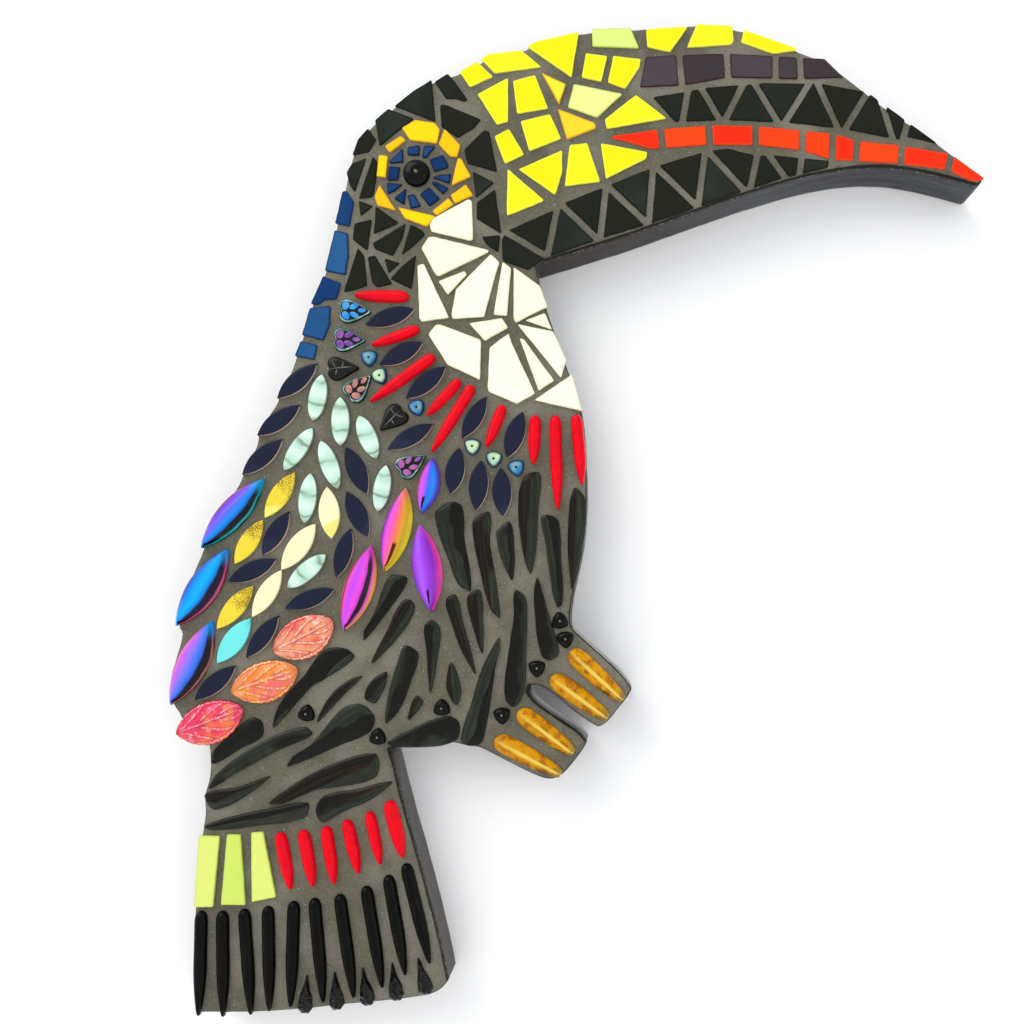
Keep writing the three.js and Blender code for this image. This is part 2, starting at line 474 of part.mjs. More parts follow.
// A petal along +x with its tips on the axis, swelling by its own amount on each side.
function petal(length, swellLeft, swellRight, segments) {
  const left = petalSide(length, swellLeft, segments);
  const right = petalSide(length, swellRight, segments);
  return anticlockwise([...left, ...right.map((p) => new THREE.Vector2(length - p.x, -p.y))]);
}

// A tapered drop along +x: a round head that starts at 0, and flanks that close in as the taper says.
function drop(length, width, taper) {
  const radius = width / 2;
  const head = Array.from({ length: 5 }, (_, i) => {
    const angle = Math.PI / 2 + (Math.PI * i) / 4;
    return new THREE.Vector2(radius + radius * Math.cos(angle), radius * Math.sin(angle));
  });
  const lower = vectors(taper.map(([along, share]) => [along * length, -share * radius]));
  const upper = lower.map((p) => new THREE.Vector2(p.x, -p.y)).reverse();
  return anticlockwise([...head, ...lower, ...upper]);
}

// A leaf along +x with a broad notched base at 0 and a pointed tip.
function leafOutline(length, width) {
  const half = width / 2;
  return anticlockwise(vectors([
    [0.06 * length, 0], [0, 0.42 * half], [0.06 * length, 0.84 * half], [0.24 * length, half],
    [0.5 * length, 0.78 * half], [0.78 * length, 0.4 * half], [length, 0.06 * half],
    [0.98 * length, -0.14 * half], [0.74 * length, -0.5 * half], [0.46 * length, -0.9 * half],
    [0.22 * length, -half], [0.05 * length, -0.72 * half], [0, -0.36 * half],
  ]));
}

// A long bead along +x: broad and blunt at 0, drawn out to a thin point.
function tailBeadOutline(length, width) {
  const half = width / 2;
  return anticlockwise(vectors([
    [0, -0.5 * half], [0, 0.45 * half], [0.12 * length, half], [0.38 * length, 0.86 * half],
    [0.62 * length, 0.52 * half], [length, 0.08 * half], [length, -0.1 * half], [0.66 * length, -0.42 * half],
    [0.36 * length, -0.9 * half], [0.14 * length, -half],
  ]));
}

// A triangle with full, rounded corners round 0, one corner along +x.
function softTriangle(radius) {
  return Array.from({ length: 9 }, (_, i) => {
    const angle = (2 * Math.PI * i) / 9;
    const reach = radius * (0.94 + 0.12 * Math.cos(3 * angle));
    return new THREE.Vector2(reach * Math.cos(angle), reach * Math.sin(angle));
  });
}

function circle(radius, segments) {
  return Array.from({ length: segments }, (_, i) => {
    const angle = (2 * Math.PI * i) / segments;
    return new THREE.Vector2(radius * Math.cos(angle), radius * Math.sin(angle));
  });
}

// A smooth closed outline through its hand-set points.
function shardOutline(pairs) {
  const loop = new THREE.CatmullRomCurve3(pairs.map(([x, y]) => new THREE.Vector3(x, y, 0)), true);
  const points = loop.getPoints(pairs.length * 2).slice(0, -1);
  return anticlockwise(points.map((p) => new THREE.Vector2(p.x, p.y)));
}

function turned(outline, degrees, x, y) {
  const angle = THREE.MathUtils.degToRad(degrees);
  const place = new THREE.Vector2(x, y);
  return outline.map((p) => p.clone().rotateAround(new THREE.Vector2(), angle).add(place));
}

// Length and heading in degrees of the line from one place to another.
function reach(x0, y0, x1, y1) {
  const length = Math.hypot(x1 - x0, y1 - y0);
  return { length, heading: THREE.MathUtils.radToDeg(Math.atan2(y1 - y0, x1 - x0)) };
}

// ---------------------------------------------------------------- solids

function plate(outline, thickness) {
  return new THREE.ExtrudeGeometry(new THREE.Shape(outline), { depth: thickness, bevelEnabled: false });
}

// A closed domed solid: rings of the outline drawn in towards a spine along +x, with a flat underside.
// Each level is a height and how much of the way in to the spine the ring has come.
function domed(outline, spineStart, spineEnd, levels) {
  const rings = [[0, 0], ...levels].map(([height, drawnIn]) => outline.map((p) => {
    const foot = new THREE.Vector2(THREE.MathUtils.clamp(p.x, spineStart, spineEnd), 0);
    const place = p.clone().lerp(foot, drawnIn);
    return [place.x, place.y, height];
  }));
  const count = outline.length;
  const caps = THREE.ShapeUtils.triangulateShape(outline, []);
  const topStart = (rings.length - 1) * count;
  const index = caps.flatMap(([a, b, c]) => [a, c, b, topStart + a, topStart + b, topStart + c]);
  for (let level = 0; level < rings.length - 1; level += 1) {
    for (let i = 0; i < count; i += 1) {
      const a = level * count + i;
      const b = level * count + ((i + 1) % count);
      index.push(a, b, b + count, a, b + count, a + count);
    }
  }
  const solid = new THREE.BufferGeometry();
  solid.setAttribute('position', new THREE.Float32BufferAttribute(rings.flat(2), 3));
  solid.setIndex(index);
  solid.computeVertexNormals();
  return solid;
}

function toManifold(geometry) {
  const bare = new THREE.BufferGeometry();
  bare.setAttribute('position', geometry.getAttribute('position'));
  const merged = mergeVertices(bare, 1e-4);
  return new wasm.Manifold(new wasm.Mesh({
    numProp: 3,
    vertProperties: merged.getAttribute('position').array,
    triVerts: Uint32Array.from(merged.index.array),
  }));
}

function fromManifold(manifold) {
  const { vertProperties, triVerts } = manifold.getMesh();
  const geometry = new THREE.BufferGeometry();
  geometry.setAttribute('position', new THREE.Float32BufferAttribute(vertProperties, 3));
  geometry.setIndex(Array.from(triVerts));
  geometry.computeVertexNormals();
  return geometry;
}

// Every flat tessera as its kind of glass and its outline.
function flatTesserae() {
  const tiles = [];
  const lay = (kind, outlines) => {
    tiles.push(...outlines.map((outline) => ({ kind, outline: anticlockwise(outline) })));
  };
  Object.values(BEAK_BANDS).forEach((band) => lay(band.kind, bandTiles(band)));
  Object.entries(BEAK_ROOT).forEach(([kind, pieces]) => lay(kind, pieces.map(vectors)));
  lay('black', HEAD_BLACK.map(vectors));
  lay('napeBlue', NAPE_BLUE.map(vectors));
  lay('irisBlue', IRIS_BLUE.map(vectors));
  Object.entries(EYE_RING).forEach(([kind, pieces]) => lay(kind, pieces.map(vectors)));
  lay('white', CHEST_WHITE.map(vectors));
  lay('lime', LIME_STRIPS.map(vectors));
  lay('shard', SHARDS.map(shardOutline));
  Object.entries(PETALS).forEach(([kind, pieces]) => lay(kind, pieces.map(([x0, y0, x1, y1, width]) => {
    const { length, heading } = reach(x0, y0, x1, y1);
    return turned(petal(length, width / 2, width / 2, 4), heading, x0, y0);
  })));
  const bead = softTriangle(SMALL_BEAD_RADIUS);
  lay('beadCeramic', CERAMIC_BEADS.map(([x, y, heading]) => turned(bead, heading, x, y)));
  return tiles;
}

// The grout with every flat tessera set into its face.
function groutBed() {
  const bed = toManifold(plate(inset(boardOutline(), GROUT_MARGIN), GROUT_THICKNESS));
  const set = flatTesserae().reduce((built, { kind, outline }) => {
    const tile = toManifold(plate(outline, TILE_DEPTH + STAND[kind]));
    return built.add(tile.translate(0, 0, GROUT_THICKNESS - TILE_DEPTH));
  }, bed);
  return fromManifold(set);
}

// ---------------------------------------------------------------- the panel

const panel = new THREE.Group();

function place(name, geometry, finishName, [x, y, z], heading = 0) {
  const mesh = new THREE.Mesh(geometry, finish(finishName));
  mesh.name = name;
  mesh.position.set(x, y, z);
  mesh.rotation.z = THREE.MathUtils.degToRad(heading);
  panel.add(mesh);
}

const ON_GROUT = GROUT_FACE + FIT_GAP;

// A set of like pieces, numbered from 1, each laid from its head to its tip.
function placeSet(name, finishName, rows, solidFor) {
  rows.forEach(([x0, y0, x1, y1, ...sizes], i) => {
    const { length, heading } = reach(x0, y0, x1, y1);
    place(`${name}_${i + 1}`, solidFor(length, ...sizes), finishName, [x0, y0, ON_GROUT], heading);
  });
}

function placeBeads(name, finishName, rows, solid) {
  rows.forEach(([x, y, heading], i) => {
    place(`${name}_${i + 1}`, solid, finishName, [x, y, ON_GROUT], heading);
  });
}

// A jewel rises from a thin girdle in two steps to a narrow crown.
function jewel(length, swellLeft, swellRight) {
  const girdle = 1.2;
  return domed(petal(length, swellLeft, swellRight, 6), 0.14 * length, 0.86 * length, [
    [girdle, 0], [0.72 * JEWEL_HEIGHT, 0.34], [JEWEL_HEIGHT, 0.72],
  ]);
}

function crystalLeaf(length, swellLeft, swellRight) {
  return domed(petal(length, swellLeft, swellRight, 6), 0.2 * length, 0.8 * length, [
    [0.4 * LEAF_HEIGHT, 0], [0.85 * LEAF_HEIGHT, 0.14], [LEAF_HEIGHT, 0.5],
  ]);
}

// A round-backed rod that tapers to its tip.
function spike(length, width) {
  return domed(drop(length, width, ROD_TAPER), width / 2, 0.94 * length, [
    [0.5 * SPIKE_HEIGHT, 0], [0.86 * SPIKE_HEIGHT, 0.36], [SPIKE_HEIGHT, 0.78],
  ]);
}

function dagger(length) {
  return domed(drop(length, DAGGER_WIDTH, ROD_TAPER), DAGGER_WIDTH / 2, 0.96 * length, [
    [0.5 * DAGGER_HEIGHT, 0], [0.86 * DAGGER_HEIGHT, 0.36], [DAGGER_HEIGHT, 0.78],
  ]);
}

// A toe rises on both sides to a ridge along its length.
function toe(length) {
  return domed(drop(length, TOE_WIDTH, TOE_TAPER), TOE_WIDTH / 2, 0.9 * length, [
    [0.45 * TOE_HEIGHT, 0], [TOE_HEIGHT, 0.9],
  ]);
}

// A low bead along +x whose spine runs between two shares of its length.
function lowBead(outline, length, spineStart, spineEnd) {
  const levels = [[0.55 * BEAD_HEIGHT, 0], [BEAD_HEIGHT, 0.4]];
  return domed(outline, spineStart * length, spineEnd * length, levels);
}

place('backing_board', plate(boardOutline(), BOARD_THICKNESS), 'board', [0, 0, 0]);
place('grout_bed', groutBed(), 'grout', [0, 0, BED_BACK]);
place('pupil', domed(circle(PUPIL_RADIUS, 16), 0, 0, [
  [0.35 * PUPIL_HEIGHT, 0], [0.8 * PUPIL_HEIGHT, 0.3], [PUPIL_HEIGHT, 0.7],
]), 'jet', [...PUPIL, ON_GROUT]);
placeSet('wing_jewel', 'jewel', JEWELS, jewel);
placeSet('crystal_leaf', 'crystal', CRYSTAL_LEAVES, crystalLeaf);
placeSet('breast_spike', 'coral', BREAST_SPIKES, spike);
placeSet('tail_spike', 'coral', TAIL_SPIKES, spike);
placeSet('tail_dagger', 'jet', TAIL_DAGGERS, dagger);
placeSet('amber_toe', 'amber', TOES, toe);
const leafBead = lowBead(leafOutline(LEAF_BEAD.length, LEAF_BEAD.width), LEAF_BEAD.length, 0.3, 0.7);
placeBeads('leaf_bead', 'leafBead', LEAF_BEADS, leafBead);
const tailBead = lowBead(tailBeadOutline(TAIL_BEAD.length, TAIL_BEAD.width), TAIL_BEAD.length, 0.15, 0.8);
placeBeads('tail_bead', 'jet', TAIL_BEADS, tailBead);
placeBeads('black_bead', 'jet', BLACK_BEADS, lowBead(softTriangle(SMALL_BEAD_RADIUS), 0, 0, 0));

// Stand the panel up: its picture faces -Y and its back lies in the plane Y = 0.
panel.rotation.x = Math.PI / 2;

export default panel;
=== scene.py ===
"""Toucan mosaic wall panel.

A painted board carries a bed of grout, and the bed is set with nipped glass, glass petals, shards,
jewels, pressed leaves, spikes and beads. Sizes are millimetres on the panel: x to the right, z up,
and height out of the wall, counted from the face of the grout. Meshes are written in metres.
"""

import logging
import math
from dataclasses import dataclass, field
from enum import Enum
from typing import Sequence

import bmesh
import bpy
import numpy as np
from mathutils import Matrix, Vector, noise
from mathutils.kdtree import KDTree


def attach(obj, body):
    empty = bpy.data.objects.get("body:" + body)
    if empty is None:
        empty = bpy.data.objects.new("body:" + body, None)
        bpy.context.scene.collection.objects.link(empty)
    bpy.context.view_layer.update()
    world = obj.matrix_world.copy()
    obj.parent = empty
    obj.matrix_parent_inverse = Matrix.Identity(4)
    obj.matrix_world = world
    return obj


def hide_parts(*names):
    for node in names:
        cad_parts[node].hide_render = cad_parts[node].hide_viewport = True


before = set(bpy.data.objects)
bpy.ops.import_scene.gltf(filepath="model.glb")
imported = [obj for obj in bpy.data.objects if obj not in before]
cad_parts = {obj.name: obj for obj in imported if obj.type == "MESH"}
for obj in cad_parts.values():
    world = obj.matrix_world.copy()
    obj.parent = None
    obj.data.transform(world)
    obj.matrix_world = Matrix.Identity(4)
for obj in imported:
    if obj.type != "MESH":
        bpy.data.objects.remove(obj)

log = logging.getLogger("toucan_panel")

MM = 0.001
GROUT_FACE = 21.0
BOARD_FRONT = -3.0  # height of the board's front face
WALL = -21.0  # height of the board's back
RAISED_BASE = 0.3  # height of the underside of a raised piece
SUNK = -0.6  # how far a piece's foot goes down into the grout
BODY = "root"
STUDIO_LEVEL = 1.25  # how much brighter than a plain white card the lamps make the panel

Colour = tuple[float, float, float, float]
Array = np.ndarray
Material = bpy.types.Material
Object = bpy.types.Object
Socket = bpy.types.NodeSocket


class Glass(Enum):
    """The kinds of flat glass, told apart by how far each stands above the grout."""

    BLACK = 0.50
    PURPLE_GREY = 0.56
    RED_ORANGE = 0.62
    IRIS_BLUE = 0.68
    NAPE_BLUE = 0.74
    YELLOW = 0.80
    PALE_GREEN = 0.86
    AMBER = 0.92
    ORANGE = 0.98
    WHITE = 1.04
    NAVY = 1.10
    OPAL = 1.16
    GOLD_SPECKLED = 1.22
    CREAM = 1.28
    CYAN = 1.34
    LIME = 1.40
    SHARD = 1.46
    BEAD_CERAMIC = 1.52


def srgb(red: float, green: float, blue: float) -> Colour:
    """Turns the values that a finish shows under the lamps into its linear colour.

    Args:
        red: red from 0 to 255.
        green: green from 0 to 255.
        blue: blue from 0 to 255.

    Returns:
        The linear colour with alpha 1.
    """
    parts = [c / 255 for c in (red, green, blue)]
    linear = [c / 12.92 if c <= 0.04045 else ((c + 0.055) / 1.055) ** 2.4 for c in parts]
    linear = [c / STUDIO_LEVEL for c in linear]
    return (linear[0], linear[1], linear[2], 1.0)


# ---------------------------------------------------------------- outlines


def anticlockwise(outline: Array) -> Array:
    """Turns an outline anticlockwise, seen from the front.

    Args:
        outline: corners as rows of x and z.

    Returns:
        The same corners, anticlockwise.
    """
    x, z = outline.T
    doubled_area = np.sum(x * np.roll(z, -1) - np.roll(x, -1) * z)
    return outline if doubled_area > 0 else outline[::-1]


def outward(outline: Array) -> Array:
    """Finds the outward direction at each corner.

    Args:
        outline: an anticlockwise outline.

    Returns:
        Unit vectors, one for each corner.
    """
    along = np.roll(outline, -1, 0) - np.roll(outline, 1, 0)
    along = along / np.maximum(np.linalg.norm(along, axis=1, keepdims=True), 1e-9)
    return np.stack([along[:, 1], -along[:, 0]], 1)


def divided(outline: Array, step: float) -> Array:
    """Cuts the edges of an outline into short steps.

    Args:
        outline: the corners.
        step: the longest step wanted.

    Returns:
        The corners with the new points between them.
    """
    runs = []
    for here, there in zip(outline, np.roll(outline, -1, 0)):
        count = max(1, math.ceil(float(np.linalg.norm(there - here)) / step))
        shares = np.arange(count)[:, None] / count
        runs.append(here + (there - here) * shares)
    return np.vstack(runs)


def splined(outline: Array, steps: int) -> Array:
    """Draws a smooth closed curve through the corners.

    Args:
        outline: the corners.
        steps: how many points each span gets.

    Returns:
        The points of the curve.
    """
    before, here = np.roll(outline, 1, 0), outline
    there, after = np.roll(outline, -1, 0), np.roll(outline, -2, 0)
    rows = []
    for k in range(steps):
        t = k / steps
        rows.append(0.5 * (2 * here + (there - before) * t
                           + (2 * before - 5 * here + 4 * there - after) * t * t
                           + (3 * here - before - 3 * there + after) * t ** 3))
    return np.stack(rows, 1).reshape(-1, 2)


def blunted(outline: Array, size: float) -> Array:
    """Takes the points off the corners of a nipped piece.

    Args:
        outline: the corners.
        size: how far back each corner is cut.

    Returns:
        The outline with three points at each corner.
    """
    corners = []
    for i, here in enumerate(outline):
        legs = [outline[i - 1] - here, outline[(i + 1) % len(outline)] - here]
        feet = []
        for leg in legs:
            length = max(float(np.linalg.norm(leg)), 1e-6)
            feet.append(here + leg * min(size / length, 0.3))
        corners += [feet[0], 0.25 * feet[0] + 0.5 * here + 0.25 * feet[1], feet[1]]
    return np.array(corners)


def nibbled(outline: Array, depth: float, seed: float) -> Array:
    """Makes an edge uneven, as nippers leave it.

    Args:
        outline: an anticlockwise outline with short steps.
        depth: how far the edge wanders.
        seed: tells one piece from another.

    Returns:
        The uneven outline.
    """
    wander = [
        0.7 * noise.noise(Vector((x * 0.25, z * 0.25, seed)))
        + 0.3 * noise.noise(Vector((x * 1.1, z * 1.1, seed + 7.0)))
        for x, z in outline
    ]
    return outline + outward(outline) * (depth * np.array(wander))[:, None]


def eased(outline: Array, passes: int = 8) -> Array:
    """Smooths the slight kinks of a finely divided outline and leaves its real corners.

    Args:
        outline: the corners.
        passes: how often the kinks are smoothed.

    Returns:
        The smoother outline.
    """
    for _ in range(passes):
        middle = (np.roll(outline, 1, 0) + np.roll(outline, -1, 0)) / 2
        stray = np.linalg.norm(middle - outline, axis=1)
        step = np.linalg.norm(np.roll(outline, -1, 0) - outline, axis=1)
        outline = np.where((stray < 0.26 * step)[:, None], (outline + middle) / 2, outline)
    return outline


def rounded(outline: Array, head: Array, tip: Array) -> Array:
    """Rounds every corner of a finely divided outline, least near its tip.

    Args:
        outline: the corners.
        head: the broad end.
        tip: the narrow end.

    Returns:
        The round outline.
    """
    length = float(np.linalg.norm(tip - head))
    for _ in range(10):
        left = np.clip(np.linalg.norm(outline - tip, axis=1) / (0.3 * length), 0.08, 1.0)[:, None]
        middle = (np.roll(outline, 1, 0) + np.roll(outline, -1, 0)) / 2
        outline = outline + (middle - outline) * 0.6 * left
    return outline


def inward(outline: Array) -> Array:
    """Finds how each corner moves for every millimetre that an outline is drawn in.

    The corners move towards a short spine along the middle of the piece, so the outline never
    crosses itself.

    Args:
        outline: an anticlockwise outline.

    Returns:
        One vector for each corner.
    """
    centre = outline.mean(0)
    spread = outline - centre
    axes = np.linalg.eigh(spread.T @ spread)[1]
    along, across = spread @ axes[:, 1], spread @ axes[:, 0]
    half = 0.85 * max(0.0, float(np.abs(along).max() - np.abs(across).max()))
    arm = outline - centre - np.clip(along, -half, half)[:, None] * axes[:, 1]
    size = np.linalg.norm(arm, axis=1)
    reach = np.maximum((arm * outward(outline)).sum(1), 0.35 * size)
    reach = np.minimum.reduce([np.roll(reach, k) for k in (-1, 0, 1)])
    return -arm / np.maximum(reach, 0.9)[:, None]


def inside_of(outline: Array, points: Array) -> Array:
    """Tells which points lie inside an outline.

    Args:
        outline: the corners.
        points: rows of x and z.

    Returns:
        True for each point inside.
    """
    inside = np.zeros(len(points), bool)
    x, z = points.T
    for (x0, z0), (x1, z1) in zip(outline, np.roll(outline, -1, 0)):
        if z0 == z1:
            continue
        crosses = (z0 > z) != (z1 > z)
        inside ^= crosses & (x < (x1 - x0) * (z - z0) / (z1 - z0) + x0)
    return inside


def tips(outline: Array) -> tuple[Array, Array]:
    """Finds the two corners that lie furthest apart.

    Args:
        outline: the corners.

    Returns:
        The upper and the lower corner.
    """
    apart = np.linalg.norm(outline[:, None] - outline[None], axis=2)
    i, j = np.unravel_index(int(np.argmax(apart)), apart.shape)
    return (outline[i], outline[j]) if outline[i][1] > outline[j][1] else (outline[j], outline[i])


def long_axis(outline: Array) -> tuple[Array, Array]:
    """Finds the ends of a tapered piece along its own axis.

    Args:
        outline: the corners.

    Returns:
        The middle of the broad end and the middle of the narrow end.
    """
    fine = divided(outline, 0.3)
    rings = np.vstack([fine * s + fine.mean(0) * (1 - s) for s in (1.0, 0.8, 0.6, 0.4, 0.2)])
    x, z = outline.T
    cross = x * np.roll(z, -1) - np.roll(x, -1) * z
    area = cross.sum() / 2
    centre = np.array([((x + np.roll(x, -1)) * cross).sum(), ((z + np.roll(z, -1)) * cross).sum()]) / 6 / area
    spread = rings - rings.mean(0)
    axis = np.linalg.eigh(spread.T @ spread)[1][:, 1]
    reach = (outline - centre) @ axis
    low, high = centre + axis * reach.min(), centre + axis * reach.max()
    return (low, high) if -reach.min() < reach.max() else (high, low)


def axes_of(start: Array, end: Array) -> tuple[float, Array, Array]:
    """Measures a piece between its two ends.

    Args:
        start: one end.
        end: the other end.

    Returns:
        The length, the direction along and the direction to its left.
    """
    length = float(np.linalg.norm(end - start))
    unit = (end - start) / length
    return length, unit, np.array([-unit[1], unit[0]])


def navette(start: Array, end: Array, left: float, right: float, steps: int) -> Array:
    """Draws a two-pointed outline with an arc on each side.

    Args:
        start: one point.
        end: the other point.
        left: how far the left side swells, seen from start to end.
        right: how far the right side swells.
        steps: points on each arc.

    Returns:
        The anticlockwise outline.
    """
    length, unit, side = axes_of(start, end)

    def arc(swell: float) -> Array:
        """Draws one arc as rows of distance along and distance out.

        Args:
            swell: how far the arc stands out.

        Returns:
            Rows of distance along and distance out.
        """
        radius = length * length / 8 / swell + swell / 2
        half = math.asin(min(1.0, length / 2 / radius))
        angle = half - 2 * half * np.arange(steps) / steps
        return np.stack([length / 2 - radius * np.sin(angle), radius * np.cos(angle) - radius + swell], 1)

    over, under = arc(left), arc(right)
    upper = start + over[:, :1] * unit + over[:, 1:] * side
    lower = end - under[:, :1] * unit - under[:, 1:] * side
    return anticlockwise(np.vstack([upper, lower]))


# ---------------------------------------------------------------- reading the frame


def border_of(faces: Sequence[Sequence[int]]) -> dict[int, int]:
    """Finds the edges that only one face has, each as its start and its end."""
    edges = {(int(face[k]), int(face[(k + 1) % len(face)])) for face in faces for k in range(len(face))}
    return {i: j for i, j in edges if (j, i) not in edges}


def loops_of(border: dict[int, int]) -> list[list[int]]:
    """Follows the edges of a border round into loops, and uses them up.

    Args:
        border: each edge's start and its end.

    Returns:
        The points of each loop, in order.
    """
    loops = []
    while border:
        start = min(border)
        loop, here = [start], border.pop(start)
        while here != start and here in border:
            loop.append(here)
            here = border.pop(here)
        loops.append(loop)
    return loops


def patch_rims(node: str, height: float, facing: int) -> list[Array]:
    """Reads the rims of a node's flat patches at one height.

    Args:
        node: the node's name in the frame.
        height: the height of the patches.
        facing: 1 for patches that face out of the wall and -1 for those that face the wall.

    Returns:
        One anticlockwise outline for each rim.
    """
    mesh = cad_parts[node].data
    world = np.empty(len(mesh.vertices) * 3)
    mesh.vertices.foreach_get("co", world)
    world = world.reshape(-1, 3) / MM
    hung = np.stack([world[:, 0], world[:, 2], -world[:, 1] - GROUT_FACE], 1)
    points, index = np.unique(np.round(hung, 3), axis=0, return_inverse=True)
    corners = np.empty(len(mesh.loops), np.int64)
    mesh.loops.foreach_get("vertex_index", corners)
    triangles = index.ravel()[corners].reshape(-1, 3)
    shape = points[triangles]
    level = np.abs(shape[:, :, 2] - height).max(1) < 0.02
    legs = shape[:, 1:, :2] - shape[:, :1, :2]
    turn = legs[:, 0, 0] * legs[:, 1, 1] - legs[:, 0, 1] * legs[:, 1, 0]
    loops = loops_of(border_of(triangles[level & (turn * facing > 0)]))
    return [anticlockwise(points[loop][:, :2]) for loop in loops if len(loop) > 2]


def footprint(node: str) -> Array:
    """Reads the outline of a raised piece where it sits on the grout."""
    return max(patch_rims(node, RAISED_BASE, -1), key=len)


def numbered(stem: str) -> list[str]:
    """Lists the frame's nodes that share a name and differ by number, in order."""
    found = [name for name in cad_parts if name.rsplit("_", 1)[0] == stem]
    return sorted(found, key=lambda name: int(name.rsplit("_", 1)[1]))


# ---------------------------------------------------------------- meshes


class Sculpt:
    """A mesh in the making, with the values that its finish reads at each point.

    Tone tells one piece from another, rim is 1 at an edge, and place is how far along a piece and
    how far across it a point lies.
    """

    def __init__(self) -> None:
        """Starts an empty mesh."""
        self.points: list[Array] = []
        self.values: list[Array] = []
        self.faces: list[tuple[int, ...]] = []
        self.slots: list[int] = []
        self.crisp: list[bool] = []
        self.count = 0

    def ring(self, outline: Array, height: float | Array, tone: float | Array = 0.5,
             rim: float | Array = 0.0, place: Array | None = None) -> Array:
        """Adds one ring of points.

        Args:
            outline: rows of x and z.
            height: one height, or one for each point.
            tone: the piece's tone.
            rim: how near an edge the points lie.
            place: rows of along and across.

        Returns:
            The indices of the points.
        """
        size = len(outline)
        self.points.append(np.column_stack([outline, np.broadcast_to(height, size)]))
        where = np.zeros((size, 2)) if place is None else place
        self.values.append(np.column_stack([np.broadcast_to(tone, size), np.broadcast_to(rim, size), where]))
        self.count += size
        return np.arange(self.count - size, self.count)

    def face(self, corners: Sequence[int], slot: int = 0, crisp: bool = False) -> None:
        """Adds one face with the material in a slot, with crisp or soft edges.

        Args:
            corners: the indices of its corners.
            slot: the material's slot.
            crisp: whether the edges stay sharp.
        """
        self.faces.append(tuple(int(i) for i in corners))
        self.slots.append(slot)
        self.crisp.append(crisp)

    def bridge(self, low: Array, high: Array, slot: int = 0, crisp: bool = False) -> None:
        """Joins two rings of the same size with faces that look outwards.

        Args:
            low: the lower ring.
            high: the upper ring.
            slot: the material's slot.
            crisp: whether the edges stay sharp.
        """
        for i in range(len(low)):
            j = (i + 1) % len(low)
            self.face((low[i], low[j], high[j], high[i]), slot, crisp)

    def stack(self, rings: Sequence[Array], slot: int = 0) -> None:
        """Joins rings one above another."""
        for low, high in zip(rings, rings[1:]):
            self.bridge(low, high, slot)

    def grid(self, index: Array, slot: int = 0) -> None:
        """Joins a grid of points whose rows run across and whose columns run along.

        Args:
            index: the points' indices, row by row.
            slot: the material's slot.
        """
        for row in range(index.shape[0] - 1):
            for column in range(index.shape[1] - 1):
                self.face((index[row, column], index[row + 1, column],
                           index[row + 1, column + 1], index[row, column + 1]), slot)

    def dome(self, outline: Array, start: Array, end: Array,
             levels: Sequence[tuple[float, float]], spine: tuple[float, float] = (0.12, 0.88),
             tone: float = 0.5, slot: int = 0, crumple: float = 0.0, ridge: float = 0.0,
             crisp: bool = False) -> Array:
        """Adds a closed piece whose rings draw in from its outline to a spine.

        Args:
            outline: the piece's anticlockwise outline.
            start: where the piece starts.
            end: where it ends.
            levels: the height of each ring and how far it has drawn in, from the foot up.
            spine: where the spine starts and ends, as shares of the length.
            tone: the piece's tone.
            slot: the material's slot.
            crumple: how rough the surface is.
            ridge: how far the spine lies to the left of the middle.
            crisp: whether the facets keep their edges.

        Returns:
            The indices of the top ring.
        """
        length, unit, side = axes_of(start, end)
        along, across = (outline - start) @ unit, (outline - start) @ side
        middle = start + np.clip(along, spine[0] * length, spine[1] * length)[:, None] * unit + side * ridge
        flank = np.clip(across / 0.8, -1, 1)
        last = None
        for height, drawn_in in levels:
            flat = outline + (middle - outline) * drawn_in
            rough = np.zeros(len(flat))
            if crumple and drawn_in > 0:
                rough = np.array([noise.noise(Vector((x * 0.9, z * 0.9, tone * 40))) for x, z in flat])
            place = np.stack([(flat - start) @ unit / length, flank * (1 - drawn_in)], 1)
            current = self.ring(flat, height + rough * crumple, tone, 1 - drawn_in, place)
            if last is None:
                self.face(current[::-1], slot, crisp)
            else:
                self.bridge(last, current, slot, crisp)
            last = current
        self.face(last, slot, crisp)
        return last

    def made(self, name: str, *finishes: Material) -> Object:
        """Turns the points and faces into an object that rides on the panel.

        Args:
            name: the piece's name.
            finishes: a material for each slot.

        Returns:
            The object.
        """
        x, z, height = np.vstack(self.points).T
        mesh = bpy.data.meshes.new(name)
        co = np.stack([x * MM, -(GROUT_FACE + height) * MM, z * MM], 1)
        mesh.from_pydata(co.tolist(), [], self.faces)
        mesh.polygons.foreach_set("material_index", self.slots)
        mesh.polygons.foreach_set("use_smooth", [not crisp for crisp in self.crisp])
        tone, rim, along, across = np.vstack(self.values).T
        for title, values in (("tone", tone), ("rim", rim)):
            mesh.attributes.new(title, "FLOAT", "POINT").data.foreach_set("value", values.astype(np.float32))
        where = np.stack([along, across, np.zeros_like(along)], 1).astype(np.float32)
        mesh.attributes.new("place", "FLOAT_VECTOR", "POINT").data.foreach_set("vector", where.ravel())
        for finish in finishes:
            mesh.materials.append(finish)
        mesh.validate()
        return placed(name, mesh)


def placed(name: str, data: bpy.types.ID) -> Object:
    """Makes an object and links it to the scene.

    Args:
        name: the object's name.
        data: its mesh, lamp or camera.

    Returns:
        The object.
    """
    thing = bpy.data.objects.new(name, data)
    bpy.context.scene.collection.objects.link(thing)
    return thing


def settle(piece: Object, nodes: Sequence[str]) -> None:
    """Puts a finished piece on the panel in place of its plain solids.

    Args:
        piece: the finished piece.
        nodes: the frame's nodes that it stands for.
    """
    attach(piece, BODY)
    if nodes:
        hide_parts(*nodes)
    log.info("%s: %d faces", piece.name, len(piece.data.polygons))


